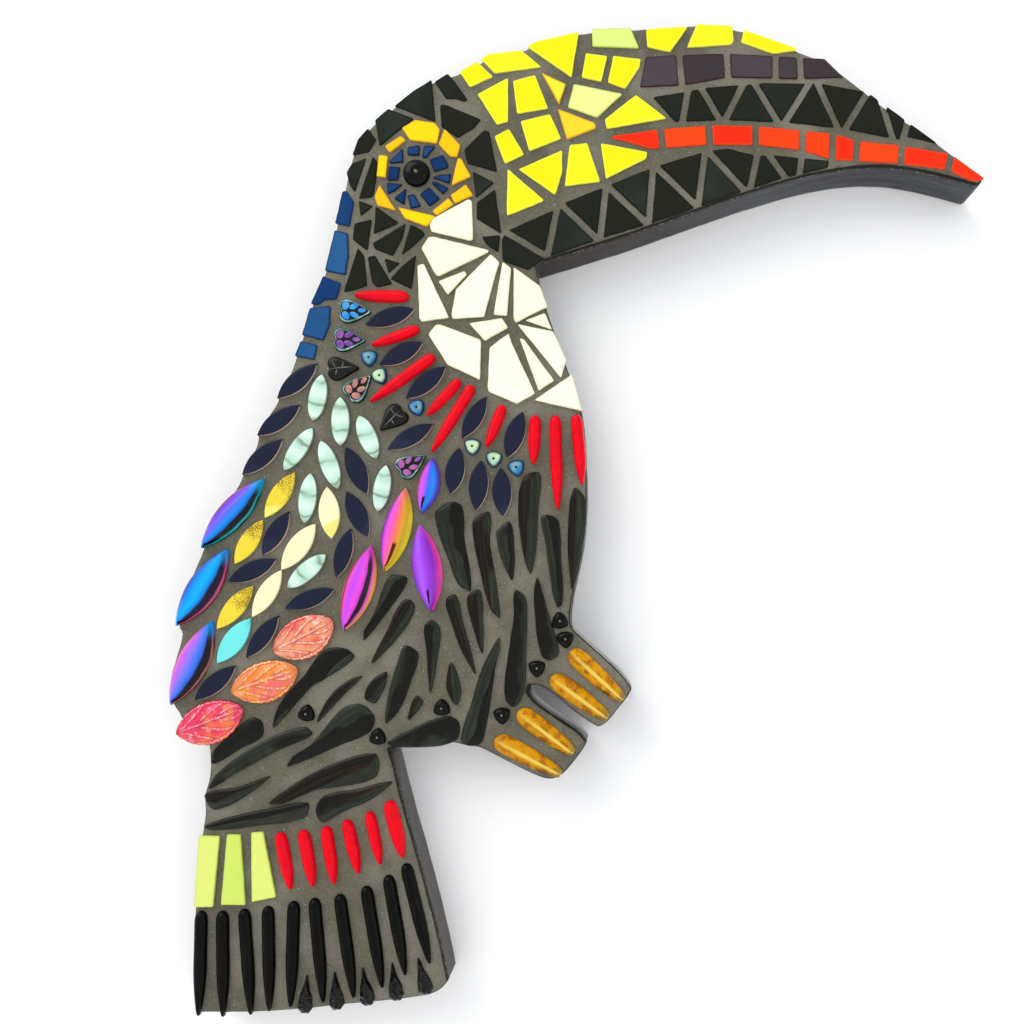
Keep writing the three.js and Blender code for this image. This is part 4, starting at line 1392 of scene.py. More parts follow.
@dataclass
class GroutBed:
    """The bed of grout between the tesserae, with grains that glint in it."""

    pitch: float = 1.0
    margin: float = 0.3
    hollow: float = 0.28
    set_outlines: list[Array] = field(default_factory=list)

    def build(self) -> Object:
        """Builds the grout in place of its solid.

        Returns:
            The finished object.
        """
        board = eased(divided(max(patch_rims("backing_board", BOARD_FRONT, 1), key=len), 0.7), 24)
        rim = board - outward(board) * self.margin
        points, cells = self._cells(rim)
        nearest = KDTree(len(rim))
        for i, (x, z) in enumerate(rim):
            nearest.insert((x, z, 0), i)
        nearest.balance()
        for i in border_of(cells):
            points[i] = nearest.find((*points[i], 0))[0][:2]
        to_edge = np.array([nearest.find((x, z, 0))[2] for x, z in points])
        to_glass, covered = self._near_glass(points)
        heights = self._heights(points, to_edge, to_glass)
        sculpt = Sculpt()
        sculpt.ring(points, heights, tone=np.where(covered, 0.0, 1.0), rim=np.clip(1 - to_edge / 1.3, 0, 1))
        for cell in cells:
            sculpt.face(cell)
        self._skirt(sculpt, cells, points, heights)
        grout = sculpt.made("grout", SandedGrout().material())
        settle(grout, ["grout_bed"])
        return grout

    def _cells(self, rim: Array) -> tuple[Array, list[tuple[int, ...]]]:
        """Lays square cells over the inside of the rim.

        Args:
            rim: the grout's outline.

        Returns:
            The points used, and each cell's four corners.
        """
        low, high = rim.min(0) - self.pitch, rim.max(0) + self.pitch
        xs, zs = np.arange(low[0], high[0], self.pitch), np.arange(low[1], high[1], self.pitch)
        grid = np.stack(np.meshgrid(xs, zs, indexing="ij"), 2).reshape(-1, 2)
        rows = len(zs)
        middle = inside_of(rim[::2], grid + self.pitch / 2)
        starts = np.flatnonzero(middle)
        corners = np.stack([starts, starts + rows, starts + rows + 1, starts + 1], 1)
        used, packed = np.unique(corners, return_inverse=True)
        return grid[used], [tuple(row) for row in packed.reshape(-1, 4)]

    def _near_glass(self, points: Array) -> tuple[Array, Array]:
        """Measures how far each point is from glass, and whether glass covers it.

        Args:
            points: rows of x and z.

        Returns:
            The distances, and which points are covered.
        """
        samples = np.vstack([divided(outline, 0.6) for outline in self.set_outlines])
        tree = KDTree(len(samples))
        for i, (x, z) in enumerate(samples):
            tree.insert((x, z, 0), i)
        tree.balance()
        distance = np.array([tree.find((x, z, 0))[2] for x, z in points])
        covered = np.zeros(len(points), bool)
        for outline in self.set_outlines:
            low, high = outline.min(0), outline.max(0)
            near = np.flatnonzero(((points > low) & (points < high)).all(1))
            covered[near] |= inside_of(outline, points[near])
        return distance, covered

    def _heights(self, points: Array, to_edge: Array, to_glass: Array) -> Array:
        """Works out the grout's height: hollow between pieces, rounded at the edge and uneven.

        Args:
            points: rows of x and z.
            to_edge: how far each point is from the grout's edge.
            to_glass: how far each point is from glass.

        Returns:
            The height of each point.
        """
        rough = np.array([
            0.10 * noise.noise(Vector((x * 0.16, z * 0.16, 1.0)))
            + 0.07 * noise.noise(Vector((x * 0.55, z * 0.55, 2.0)))
            for x, z in points
        ])
        sag = -self.hollow * np.clip((to_glass - 0.3) / 1.8, 0, 1) ** 0.7
        fall = -1.1 * np.clip(1 - to_edge / 1.4, 0, 1) ** 2
        return 0.12 + rough + sag + fall

    def _skirt(self, sculpt: Sculpt, cells: Sequence[Sequence[int]], points: Array, heights: Array) -> None:
        """Closes the bed with a wall down to the board and a floor.

        Args:
            sculpt: the mesh in the making.
            cells: the bed's cells.
            points: rows of x and z.
            heights: the height of each point.
        """
        for loop in loops_of(border_of(cells)):
            if len(loop) < 8:
                continue
            outline = points[loop]
            low = sculpt.ring(outline, BOARD_FRONT + 0.1, rim=1.0)
            middle = sculpt.ring(outline + outward(outline) * 0.15, heights[loop] - 0.9, rim=1.0)
            sculpt.bridge(low, middle)
            sculpt.bridge(middle, np.array(loop))
            sculpt.face(low[::-1])


class GrainScatter:
    """Grains strewn on open grout by a geometry node tree."""

    def __init__(self) -> None:
        """Builds the tree."""
        self.tree = bpy.data.node_groups.new("grain_scatter", "GeometryNodeTree")
        face = self.tree.interface
        self.inputs: dict[str, str] = {}
        face.new_socket("Geometry", in_out="INPUT", socket_type="NodeSocketGeometry")
        for title, kind in (("Density", "NodeSocketFloat"), ("Grain Radius", "NodeSocketFloat"),
                            ("Seed", "NodeSocketInt"), ("Finish", "NodeSocketMaterial")):
            self.inputs[title] = face.new_socket(title, in_out="INPUT", socket_type=kind).identifier
        face.new_socket("Geometry", in_out="OUTPUT", socket_type="NodeSocketGeometry")
        w = Weaver(self.tree)
        given = w.add("NodeGroupInput").outputs
        is_open = w.add("GeometryNodeInputNamedAttribute", {"Name": "tone"}, data_type="FLOAT")
        chosen = w.add("FunctionNodeCompare", {0: is_open.outputs[0], 1: 0.5}, data_type="FLOAT",
                       operation="GREATER_THAN")
        strewn = w.add("GeometryNodeDistributePointsOnFaces", {
            "Mesh": given["Geometry"], "Selection": chosen.outputs[0], "Density": given["Density"],
            "Seed": given["Seed"]})
        ball = w.add("GeometryNodeMeshIcoSphere", {"Radius": given["Grain Radius"], "Subdivisions": 1})
        size = w.add("FunctionNodeRandomValue", {2: 0.35, 3: 1.0, "Seed": given["Seed"]}, data_type="FLOAT")
        turn = w.add("FunctionNodeRandomValue", {0: (0.0, 0.0, 0.0), 1: (6.0, 6.0, 6.0)},
                     data_type="FLOAT_VECTOR")
        grains = w.add("GeometryNodeInstanceOnPoints", {
            "Points": strewn.outputs["Points"], "Instance": ball.outputs["Mesh"],
            "Scale": size.outputs[1], "Rotation": turn.outputs[0]})
        real = w.add("GeometryNodeRealizeInstances", {0: grains.outputs[0]})
        dressed = w.add("GeometryNodeSetMaterial", {"Geometry": real.outputs[0], "Material": given["Finish"]})
        w.add("NodeGroupOutput", {0: dressed.outputs[0]})

    def strew(self, name: str, ground: Object, density: float, radius: float, seed: int,
              finish: Material) -> Object:
        """Strews grains on the open part of the grout.

        Args:
            name: the new piece's name.
            ground: the grout.
            density: grains on each square metre.
            radius: the largest grain's radius in millimetres.
            seed: fixes where they fall.
            finish: the grains' material.

        Returns:
            The grains as a plain mesh.
        """
        carrier = placed(name + "_carrier", ground.data.copy())
        modifier = carrier.modifiers.new("scatter", "NODES")
        modifier.node_group = self.tree
        for title, value in (("Density", density), ("Grain Radius", radius * MM), ("Seed", seed),
                             ("Finish", finish)):
            modifier[self.inputs[title]] = value
        graph = bpy.context.evaluated_depsgraph_get()
        mesh = bpy.data.meshes.new_from_object(carrier.evaluated_get(graph))
        bpy.data.objects.remove(carrier)
        mesh.name = name
        piece = placed(name, mesh)
        settle(piece, [])
        return piece


# ---------------------------------------------------------------- flat glass


@dataclass
class NippedGlass:
    """Flat pieces nipped from sheet, all of one kind of glass."""

    kind: Glass
    finish: SheetGlass
    nibble: float = 0.16
    spread: float = 0.1
    bevel: float = 0.22
    rim_width: float = 0.9
    tilt: float = 0.01

    def build(self, outlines: Sequence[Array]) -> Object:
        """Builds every piece of this kind.

        Args:
            outlines: the pieces' outlines.

        Returns:
            The object.
        """
        sculpt = Sculpt()
        for i, corners in enumerate(outlines):
            tone = 0.5 + 0.5 * math.sin(i * 2.4 + self.kind.value * 60)
            outline = nibbled(divided(blunted(corners, 0.5), 0.9), self.nibble, i * 3.1)
            outline = outline + outward(outline) * self.spread
            lean = np.array([math.cos(i * 1.7), math.sin(i * 1.7)]) * self.tilt
            rings = self._rings(sculpt, outline, lean, tone)
            sculpt.face(rings[0][::-1])
            sculpt.stack(rings)
            sculpt.face(rings[-1])
        piece = sculpt.made(f"{self.finish.name}_glass", self.finish.material())
        settle(piece, ["grout_bed"])
        return piece

    def _rings(self, sculpt: Sculpt, outline: Array, lean: Array, tone: float) -> list[Array]:
        """Adds one piece's rings, from its foot in the grout over the bevel to its flat face.

        Args:
            sculpt: the mesh in the making.
            outline: the piece's outline.
            lean: how its face slopes.
            tone: the piece's tone.

        Returns:
            The rings.
        """
        centre, inwards = outline.mean(0), inward(outline)
        rings = [sculpt.ring(outline, SUNK, tone, 1.0)]
        for distance, drop, rim in ((0.0, self.bevel, 1.0), (0.07, 0.07, 1.0), (self.bevel, 0.0, 0.9),
                                    (self.bevel + 0.1, 0.0, 0.75), (self.bevel + self.rim_width, 0.0, 0.0)):
            flat = outline + inwards * distance
            rings.append(sculpt.ring(flat, self.kind.value - drop + (flat - centre) @ lean, tone, rim))
        return rings


@dataclass
class Shards:
    """Long black shards with a soft ridge, broken square at the head."""

    finish: ChippedGlass
    ridge_height: float = 1.3

    def build(self, outlines: Sequence[Array]) -> Object:
        """Builds the shards from their outlines.

        Args:
            outlines: the pieces' outlines.

        Returns:
            The finished object.
        """
        sculpt = Sculpt()
        for i, corners in enumerate(outlines):
            outline = nibbled(divided(splined(corners, 3), 1.6), 0.16, 50 + i * 2.3)
            start, end = tips(outline)
            left, right = swells(outline, start, end)
            offset = (left - right) / 2 + (0.3 if i % 3 else -0.25) * (left + right) / 2
            levels = [(SUNK, 0.0)] + [(self.ridge_height * share, drawn_in) for share, drawn_in in (
                (0.4, 0.0), (0.56, 0.04), (0.74, 0.18), (0.88, 0.4), (0.97, 0.66), (1.0, 0.88))]
            sculpt.dome(outline, start, end, levels, (0.1, 0.88), 0.5 + 0.5 * math.sin(i * 1.9),
                        ridge=offset * 0.7)
        piece = sculpt.made("black_shards", self.finish.material())
        settle(piece, ["grout_bed"])
        return piece


@dataclass
class Petals:
    """Two-pointed petals of one kind, with bevelled edges."""

    kind: Glass
    finish: OpalGlass | FoiledPetal
    crown: float = 0.12
    blunt: float = 0.0
    top: float = 1.2

    def _blunted(self, outline: Array, start: Array, end: Array) -> Array:
        """Fills a petal's shoulders and draws its two points in.

        Args:
            outline: the piece's outline.
            start: the upper end.
            end: the lower end.

        Returns:
            The blunter outline.
        """
        length, unit, _ = axes_of(start, end)
        along = (outline - start) @ unit / length
        axis = start + np.outer(along * length, unit)
        fuller = 1 + self.blunt * np.abs(2 * along - 1) ** 2
        return axis + (outline - axis) * fuller[:, None] - np.outer((2 * along - 1) ** 9 * self.blunt, unit)

    def build(self, outlines: Sequence[Array]) -> Object:
        """Builds the petals, each between the two tips of its outline.

        Args:
            outlines: the pieces' outlines.

        Returns:
            The finished object.
        """
        sculpt = Sculpt()
        for i, corners in enumerate(outlines):
            start, end = tips(corners)
            left, right = swells(corners, start, end)
            outline = navette(start, end, left, right, 16)
            if self.blunt:
                outline = self._blunted(outline, start, end)
            levels = [(SUNK, 0.0), (self.top - 0.28, 0.0), (self.top - 0.08, 0.035), (self.top, 0.09)]
            for t in (0.14, 0.3, 0.5, 0.7, 0.88):
                levels.append((self.top + self.crown * math.sin(t * math.pi / 2), t))
            sculpt.dome(outline, start, end, levels, (0.14, 0.86), (i * 0.37 + 0.1) % 1.0)
        piece = sculpt.made(f"{self.finish.name}s", self.finish.material())
        settle(piece, ["grout_bed"])
        return piece


def swells(outline: Array, start: Array, end: Array) -> tuple[float, float]:
    """Measures how far an outline stands out on each side of the line between two points.

    Args:
        outline: the corners.
        start: where the line starts.
        end: where it ends.

    Returns:
        The swell on the left and on the right.
    """
    across = (outline - start) @ axes_of(start, end)[2]
    return max(float(across.max()), 0.3), max(float(-across.min()), 0.3)


# ---------------------------------------------------------------- jewels and leaves


@dataclass
class Jewels:
    """The seven coated jewels along the wing."""

    finishes: tuple[Iridescent, ...]
    girdle: float = 0.9
    crown: float = 3.0

    def build(self) -> Object:
        """Builds the jewels in place of their solids.

        Returns:
            The finished object.
        """
        sculpt = Sculpt()
        nodes = numbered("wing_jewel")
        for i, node in enumerate(nodes):
            corners = footprint(node)
            start, end = tips(corners)
            outline = navette(start, end, *swells(corners, start, end), 30)
            levels = [(SUNK, 0.0), (self.girdle, 0.0), (self.girdle + 0.2, 0.03)]
            for t in (0.1, 0.2, 0.32, 0.45, 0.58, 0.7, 0.82, 0.93):
                levels.append((self.girdle + 0.2 + self.crown * math.sin(t * math.pi / 2) ** 0.85, t))
            sculpt.dome(outline, start, end, levels, (0.1, 0.9), 0.5, i)
        piece = sculpt.made("wing_jewels", *[finish.material() for finish in self.finishes])
        settle(piece, nodes)
        return piece


@dataclass
class CrystalLeaves:
    """The three pressed leaves, with a midrib, side veins and a beaded rim in relief."""

    finishes: tuple[PressedGlass, ...]
    crown: float = 1.7
    vein: float = 0.42
    vein_count: float = 3.3
    sweep: float = 0.6
    rows: int = 41
    columns: int = 72

    def build(self) -> Object:
        """Builds the leaves in place of their solids.

        Returns:
            The finished object.
        """
        sculpt = Sculpt()
        nodes = numbered("crystal_leaf")
        for i, node in enumerate(nodes):
            corners = footprint(node)
            tip, stem = tips(corners)
            self._leaf(sculpt, corners, stem, tip, i)
        piece = sculpt.made("crystal_leaves", *[finish.material() for finish in self.finishes])
        mesh = bmesh.new()
        mesh.from_mesh(piece.data)
        bmesh.ops.remove_doubles(mesh, verts=mesh.verts, dist=2e-6)
        mesh.to_mesh(piece.data)
        mesh.free()
        settle(piece, nodes)
        return piece

    def _leaf(self, sculpt: Sculpt, corners: Array, stem: Array, tip: Array, slot: int) -> None:
        """Adds one leaf from its stem to its tip.

        Args:
            sculpt: the mesh in the making.
            corners: the piece's corners.
            stem: the end with the stem.
            tip: the pointed end.
            slot: the material's slot.
        """
        length, unit, side = axes_of(stem, tip)
        left, right = swells(corners, stem, tip)
        index = np.empty((self.rows, self.columns), int)
        shares = np.linspace(0, 1, self.columns)
        for row, across in enumerate(np.linspace(-1, 1, self.rows)):
            swell = left if across > 0 else right
            width = swell * (4 * shares * (1 - shares)) ** 0.72
            width = width * (1 + 0.02 * np.sin(shares * 60) * abs(across) ** 4)
            flat = stem + np.outer(shares * length, unit) + np.outer(across * width, side)
            dome = (1 - across * across) ** 0.75 * np.minimum(1, 8 * np.minimum(shares, 1 - shares) + 0.1)
            phase = (shares - self.sweep * abs(across)) * self.vein_count
            veins = np.maximum(0, np.cos(2 * np.pi * phase)) ** 2.2 * np.clip(4 * abs(across), 0, 1)
            veins = veins * np.clip((0.84 - abs(across)) * 8, 0, 1)
            midrib = np.full_like(shares, math.exp(-(across / 0.055) ** 2)) * (shares > 0.06)
            beads = 0.8 + 0.2 * np.sin(shares * length * 4.2 + (0.0 if across > 0 else 1.6))
            edge = beads * math.exp(-((abs(across) - 0.91) / 0.075) ** 2)
            relief = np.maximum(np.maximum(veins, midrib), edge)
            height = 1.0 + self.crown * dome + self.vein * relief
            place = np.stack([shares, np.full_like(shares, across)], 1)
            index[row] = sculpt.ring(flat, height, 0.3 + 0.2 * slot, relief, place)
        sculpt.grid(index[::-1], slot)
        border = np.concatenate([index[0], index[1:-1, -1], index[-1][::-1], index[1:-1, 0][::-1]])
        points = np.vstack(sculpt.points)[border][:, :2]
        low = sculpt.ring(points, SUNK, 0.5, 0.4)
        sculpt.bridge(low, border, slot)
        sculpt.face(low[::-1], slot)


# ---------------------------------------------------------------- spikes, toes and beads


@dataclass
class Rods:
    """Tapered pieces with a round back, such as spikes and daggers."""

    name: str
    stems: tuple[str, ...]
    finish: Polished | CrackledAmber
    slot: str
    height: float
    ridged: bool = False

    def build(self) -> Object:
        """Builds the rods in place of their solids.

        Returns:
            The finished object.
        """
        sculpt = Sculpt()
        nodes = [node for stem in self.stems for node in numbered(stem)]
        for i, node in enumerate(nodes):
            corners = footprint(node)
            head, tip = long_axis(corners)
            outline = rounded(divided(corners, 0.7), head, tip)
            sculpt.dome(outline, head, tip, self._levels(), (0.1, 0.93), (i * 0.31) % 1.0)
        piece = sculpt.made(self.name, self.finish.material())
        settle(piece, nodes)
        return piece

    def _levels(self) -> list[tuple[float, float]]:
        """Works out the heights of the rings, from the foot to the back of the rod.

        Returns:
            Each ring's height and how far it has drawn in.
        """
        if self.ridged:
            steps = ((0.25, 0.0), (0.42, 0.07), (0.6, 0.3), (0.78, 0.6), (0.93, 0.86), (0.97, 0.95))
            return [(SUNK, 0.0)] + [(self.height * share, drawn_in) for share, drawn_in in steps]
        levels = [(SUNK, 0.0), (0.22 * self.height, 0.0)]
        for k in range(1, 9):
            angle = math.pi / 2 * k / 8.6
            levels.append((self.height * (0.22 + 0.78 * math.sin(angle)), 1 - math.cos(angle)))
        return levels


@dataclass
class HoledBeads:
    """Small beads with a hole through the middle, plugged with grout or open."""

    name: str
    finish: Polished | BeadGlaze
    hole_finish: Polished
    height: float
    hole: float = 0.62
    plug: float = 0.6
    slot: str | None = None

    def build(self, outlines: Sequence[Array], nodes: Sequence[str]) -> Object:
        """Builds the beads.

        Args:
            outlines: the beads' outlines.
            nodes: the nodes that they stand for.

        Returns:
            The object.
        """
        sculpt = Sculpt()
        for i, corners in enumerate(outlines):
            outline = splined(corners, 4)
            centre = outline.mean(0)
            radius = float(np.linalg.norm(outline - centre, axis=1).mean())
            at_hole = 1 - self.hole / radius
            rings = []
            for share, drawn_in in ((-0.2, 0.0), (0.25, 0.0), (0.5, 0.06), (0.72, 0.17), (0.88, 0.33),
                                    (0.97, 0.52), (1.0, 0.7), (0.98, at_hole), (self.plug, at_hole + 0.02)):
                flat = outline + (centre - outline) * drawn_in
                place = np.stack([np.full(len(flat), 1 - drawn_in), flat[:, 1] - centre[1]], 1)
                rings.append(sculpt.ring(flat, self.height * share, (i * 0.41) % 1.0, 1 - drawn_in, place))
            sculpt.face(rings[0][::-1])
            sculpt.stack(rings)
            sculpt.face(rings[-1], 1)
        piece = sculpt.made(self.name, self.finish.material(), self.hole_finish.material())
        settle(piece, nodes)
        return piece


@dataclass
class LeafBeads:
    """Leaf-shaped beads: a dark body with a coloured rim and inlaid lobes, or pale veins."""

    lobe_finishes: tuple[Polished | None, ...]
    body: Polished
    rim: Polished
    vein: Polished
    height: float = 1.9

    def build(self) -> Object:
        """Builds the leaf beads in place of their solids.

        Returns:
            The finished object.
        """
        sculpt = Sculpt()
        nodes = numbered("leaf_bead")
        for i, node in enumerate(nodes):
            corners = footprint(node)
            blunt, tip = self._ends(corners)
            outline = splined(corners, 3)
            levels = [(SUNK, 0.0), (0.5, 0.0), (1.0, 0.04), (self.height * 0.8, 0.12), (self.height, 0.24),
                      (self.height, 0.6)]
            inlaid = self.lobe_finishes[i] is not None
            sculpt.dome(outline, blunt, tip, levels, (0.3, 0.7), 0.5, 0)
            if inlaid:
                self._rim(sculpt, outline, blunt, tip)
                self._lobes(sculpt, blunt, tip, corners, i + 3)
            else:
                self._veins(sculpt, blunt, tip, corners)
        lobes = [finish.material() for finish in self.lobe_finishes if finish is not None]
        bodies = [self.body.material(), self.rim.material(), self.vein.material()]
        fill = iter(lobes)
        slots = [next(fill) if finish is not None else bodies[0] for finish in self.lobe_finishes]
        piece = sculpt.made("leaf_beads", *bodies, *slots)
        settle(piece, nodes)
        return piece

    @staticmethod
    def _ends(corners: Array) -> tuple[Array, Array]:
        """Finds the middle of the blunt end and the tip of a leaf.

        Args:
            corners: the piece's corners.

        Returns:
            The middle of the blunt end, and the tip.
        """
        fine = divided(corners, 0.4)
        centre = fine.mean(0)
        tip = fine[int(np.argmax(np.linalg.norm(fine - centre, axis=1)))]
        unit = (centre - tip) / np.linalg.norm(centre - tip)
        return tip + unit * float(((fine - tip) @ unit).max()), tip

    def _rim(self, sculpt: Sculpt, outline: Array, blunt: Array, tip: Array) -> None:
        """Adds the bright line inside the edge.

        Args:
            sculpt: the mesh in the making.
            outline: the piece's outline.
            blunt: the middle of the blunt end.
            tip: the pointed end.
        """
        length, unit, _ = axes_of(blunt, tip)
        middle = blunt + np.clip((outline - blunt) @ unit, 0.3 * length, 0.7 * length)[:, None] * unit
        bands = [(0.05, 0.0), (0.08, 0.12), (0.17, 0.14), (0.2, 0.0)]
        rings = [
            sculpt.ring(outline + (middle - outline) * drawn_in, self._surface(drawn_in) + lift, 0.5, 0.5)
            for drawn_in, lift in bands
        ]
        sculpt.stack([*rings, rings[0]], 1)

    def _surface(self, drawn_in: float) -> float:
        """Works out the body's height at a ring."""
        return float(np.interp(drawn_in, [0.0, 0.04, 0.12, 0.24], [0.5, 1.0, 0.8 * self.height, self.height]))

    def _lobes(self, sculpt: Sculpt, blunt: Array, tip: Array, corners: Array, slot: int) -> None:
        """Adds the inlaid lobes.

        Args:
            sculpt: the mesh in the making.
            blunt: the middle of the blunt end.
            tip: the pointed end.
            corners: the piece's corners.
            slot: the material's slot.
        """
        length, unit, side = axes_of(blunt, tip)
        left, right = swells(corners, blunt, tip)
        for along, across, long, wide, turn in (
            (0.23, 0.42, 0.14, 0.29, 1.0), (0.23, -0.42, 0.14, 0.29, -1.0), (0.5, 0.36, 0.15, 0.21, 0.4),
            (0.5, -0.36, 0.15, 0.21, -0.4), (0.75, 0.0, 0.13, 0.17, 0.0),
        ):
            centre = blunt + unit * along * length + side * across * (left if across > 0 else right)
            angles = np.linspace(0, 2 * np.pi, 14, endpoint=False)
            reach, width = long * length, wide * (left + right) / 2
            ellipse = np.stack([np.cos(angles) * reach, np.sin(angles) * width], 1)
            c, s = math.cos(turn), math.sin(turn)
            ellipse = ellipse @ np.array([[c, s], [-s, c]])
            outline = anticlockwise(centre + np.outer(ellipse[:, 0], unit) + np.outer(ellipse[:, 1], side))
            outline = nibbled(outline, 0.35, slot + along * 9)
            start, end = centre - unit * 0.1, centre + unit * 0.1
            levels = [(self.height - 0.5, 0.0), (self.height + 0.03, 0.0), (self.height + 0.12, 0.2),
                      (self.height + 0.14, 0.6)]
            sculpt.dome(outline, start, end, levels, (0.4, 0.6), along + 0.5, slot)

    def _veins(self, sculpt: Sculpt, blunt: Array, tip: Array, corners: Array) -> None:
        """Adds pale veins in relief.

        Args:
            sculpt: the mesh in the making.
            blunt: the middle of the blunt end.
            tip: the pointed end.
            corners: the piece's corners.
        """
        length, unit, side = axes_of(blunt, tip)
        half = sum(swells(corners, blunt, tip)) / 2
        for a0, c0, a1, c1 in ((0.1, 0.0, 0.86, 0.02), (0.3, 0.0, 0.2, 0.62), (0.34, 0.0, 0.26, -0.66),
                               (0.5, 0.0, 0.56, 0.5)):
            start = blunt + unit * a0 * length + side * c0 * half
            end = blunt + unit * a1 * length + side * c1 * half
            outline = navette(start, end, 0.24, 0.24, 5)
            levels = [(self.height - 0.5, 0.0), (self.height + 0.02, 0.0), (self.height + 0.1, 0.4)]
            sculpt.dome(outline, start, end, levels, (0.2, 0.8), 0.5, 2)


@dataclass
class TailBeads:
    """Black crumpled beads along the end of the tail."""

    finish: Polished
    height: float = 2.0
    crumple: float = 0.6

    def build(self) -> Object:
        """Builds the beads in place of their solids.

        Returns:
            The finished object.
        """
        sculpt = Sculpt()
        nodes = numbered("tail_bead")
        for i, node in enumerate(nodes):
            corners = footprint(node)
            broad, thin = long_axis(corners)
            outline = nibbled(splined(divided(corners, 1.6), 2), 0.35, 90 + i * 5.0)
            levels = [(SUNK, 0.0), (0.6, 0.0)]
            levels += [(0.6 + (self.height - 0.6) * math.sin(t * math.pi / 2) ** 0.7, t)
                       for t in (0.08, 0.2, 0.34, 0.5, 0.66, 0.84)]
            sculpt.dome(outline, broad, thin, levels, (0.15, 0.8), (i + 1) * 0.17, crumple=self.crumple,
                        crisp=True)
        piece = sculpt.made("tail_beads", self.finish.material())
        settle(piece, nodes)
        return piece


# ---------------------------------------------------------------- the stage


@dataclass
class Studio:
    """A white wall, a pale floor, soft lights and the camera."""

    camera_place: tuple[float, float, float] = (0.070, -0.403, -0.0628)
    lens: float = 33.57
    shift: tuple[float, float] = (-0.1006, 0.083)
    floor_height: float = -0.62
    ambient: Colour = (0.88, 0.90, 0.93, 1.0)

    def build(self) -> None:
        """Builds the whole stage."""
        self._wall()
        self._floor()
        self._lamp("key", (-1.3, -1.3, 1.6), 1.9, 34.0, (1.0, 0.98, 0.95))
        self._lamp("fill", (1.2, -1.1, -0.5), 1.4, 5.0, (0.9, 0.95, 1.0))
        self._lamp("behind", (0.5, 1.2, 0.7), 1.2, 30.0, (1.0, 1.0, 1.0))
        self._world()
        self._camera()

    def _sheet(self, name: str, corners: Sequence[tuple[float, float, float]]) -> Object:
        """Makes one flat sheet of the stage.

        Args:
            name: the name.
            corners: the sheet's four corners.

        Returns:
            The sheet.
        """
        mesh = bpy.data.meshes.new(name)
        mesh.from_pydata(list(corners), [], [(0, 1, 2, 3)])
        sheet = placed(name, mesh)
        return sheet

    def _wall(self) -> None:
        """Makes the wall, which only shows from the front."""
        y = 0.0006
        wall = self._sheet("wall", [(-3, y, -1), (3, y, -1), (3, y, 3), (-3, y, 3)])
        made, w, shader = new_finish("white_wall", Roughness=0.9, Specular_IOR_Level=0.1)
        shader.inputs["Base Color"].default_value = (0.9, 0.9, 0.9, 1.0)
        back = w.add("ShaderNodeNewGeometry").outputs["Backfacing"]
        clear = w.add("ShaderNodeBsdfTransparent").outputs[0]
        mixed = w.add("ShaderNodeMixShader", {0: back, 1: shader.outputs[0], 2: clear})
        w.tree.links.new(mixed.outputs[0], w.tree.nodes["Material Output"].inputs["Surface"])
        wall.data.materials.append(made)
        wall.visible_shadow = False

    def _floor(self) -> None:
        """Makes the floor, well below the panel."""
        z = self.floor_height
        floor = self._sheet("floor", [(-3, -3, z), (3, -3, z), (3, 3, z), (-3, 3, z)])
        made, w, shader = new_finish("pale_floor", Roughness=0.85, Specular_IOR_Level=0.15)
        tint = w.blend((0.74, 0.73, 0.72, 1.0), (0.8, 0.79, 0.78, 1.0), w.grain(w.coordinates(), 3.0))
        w.tree.links.new(tint, shader.inputs["Base Color"])
        floor.data.materials.append(made)

    def _lamp(self, name: str, place: tuple[float, float, float], size: float, power: float,
              tint: tuple[float, float, float]) -> None:
        """Hangs one soft lamp that looks at the panel.

        Args:
            name: the name.
            place: where it hangs.
            size: the side of its square.
            power: its power in watts.
            tint: its colour.
        """
        data = bpy.data.lights.new(name, "AREA")
        data.shape = "SQUARE"
        data.size = size
        data.energy = power
        data.color = tint
        lamp = placed(name, data)
        lamp.location = place
        aim = Vector((0.0, -0.02, -0.03)) - Vector(place)
        lamp.rotation_euler = aim.to_track_quat("-Z", "Y").to_euler()

    def _world(self) -> None:
        """Gives the room its soft light."""
        world = bpy.data.worlds.new("room")
        world.use_nodes = True
        world.node_tree.nodes["Background"].inputs["Color"].default_value = self.ambient
        bpy.context.scene.world = world
        bpy.context.scene.view_settings.view_transform = "Standard"

    def _camera(self) -> None:
        """Sets the camera in front of the belly, looking straight at the wall."""
        data = bpy.data.cameras.new("camera")
        data.lens = self.lens
        data.sensor_width = 36.0
        data.shift_x, data.shift_y = self.shift
        data.clip_start = 0.01
        camera = placed("camera", data)
        camera.location = self.camera_place
        camera.rotation_euler = (math.pi / 2, 0.0, 0.0)
        bpy.context.scene.camera = camera


# ---------------------------------------------------------------- the panel's finishes

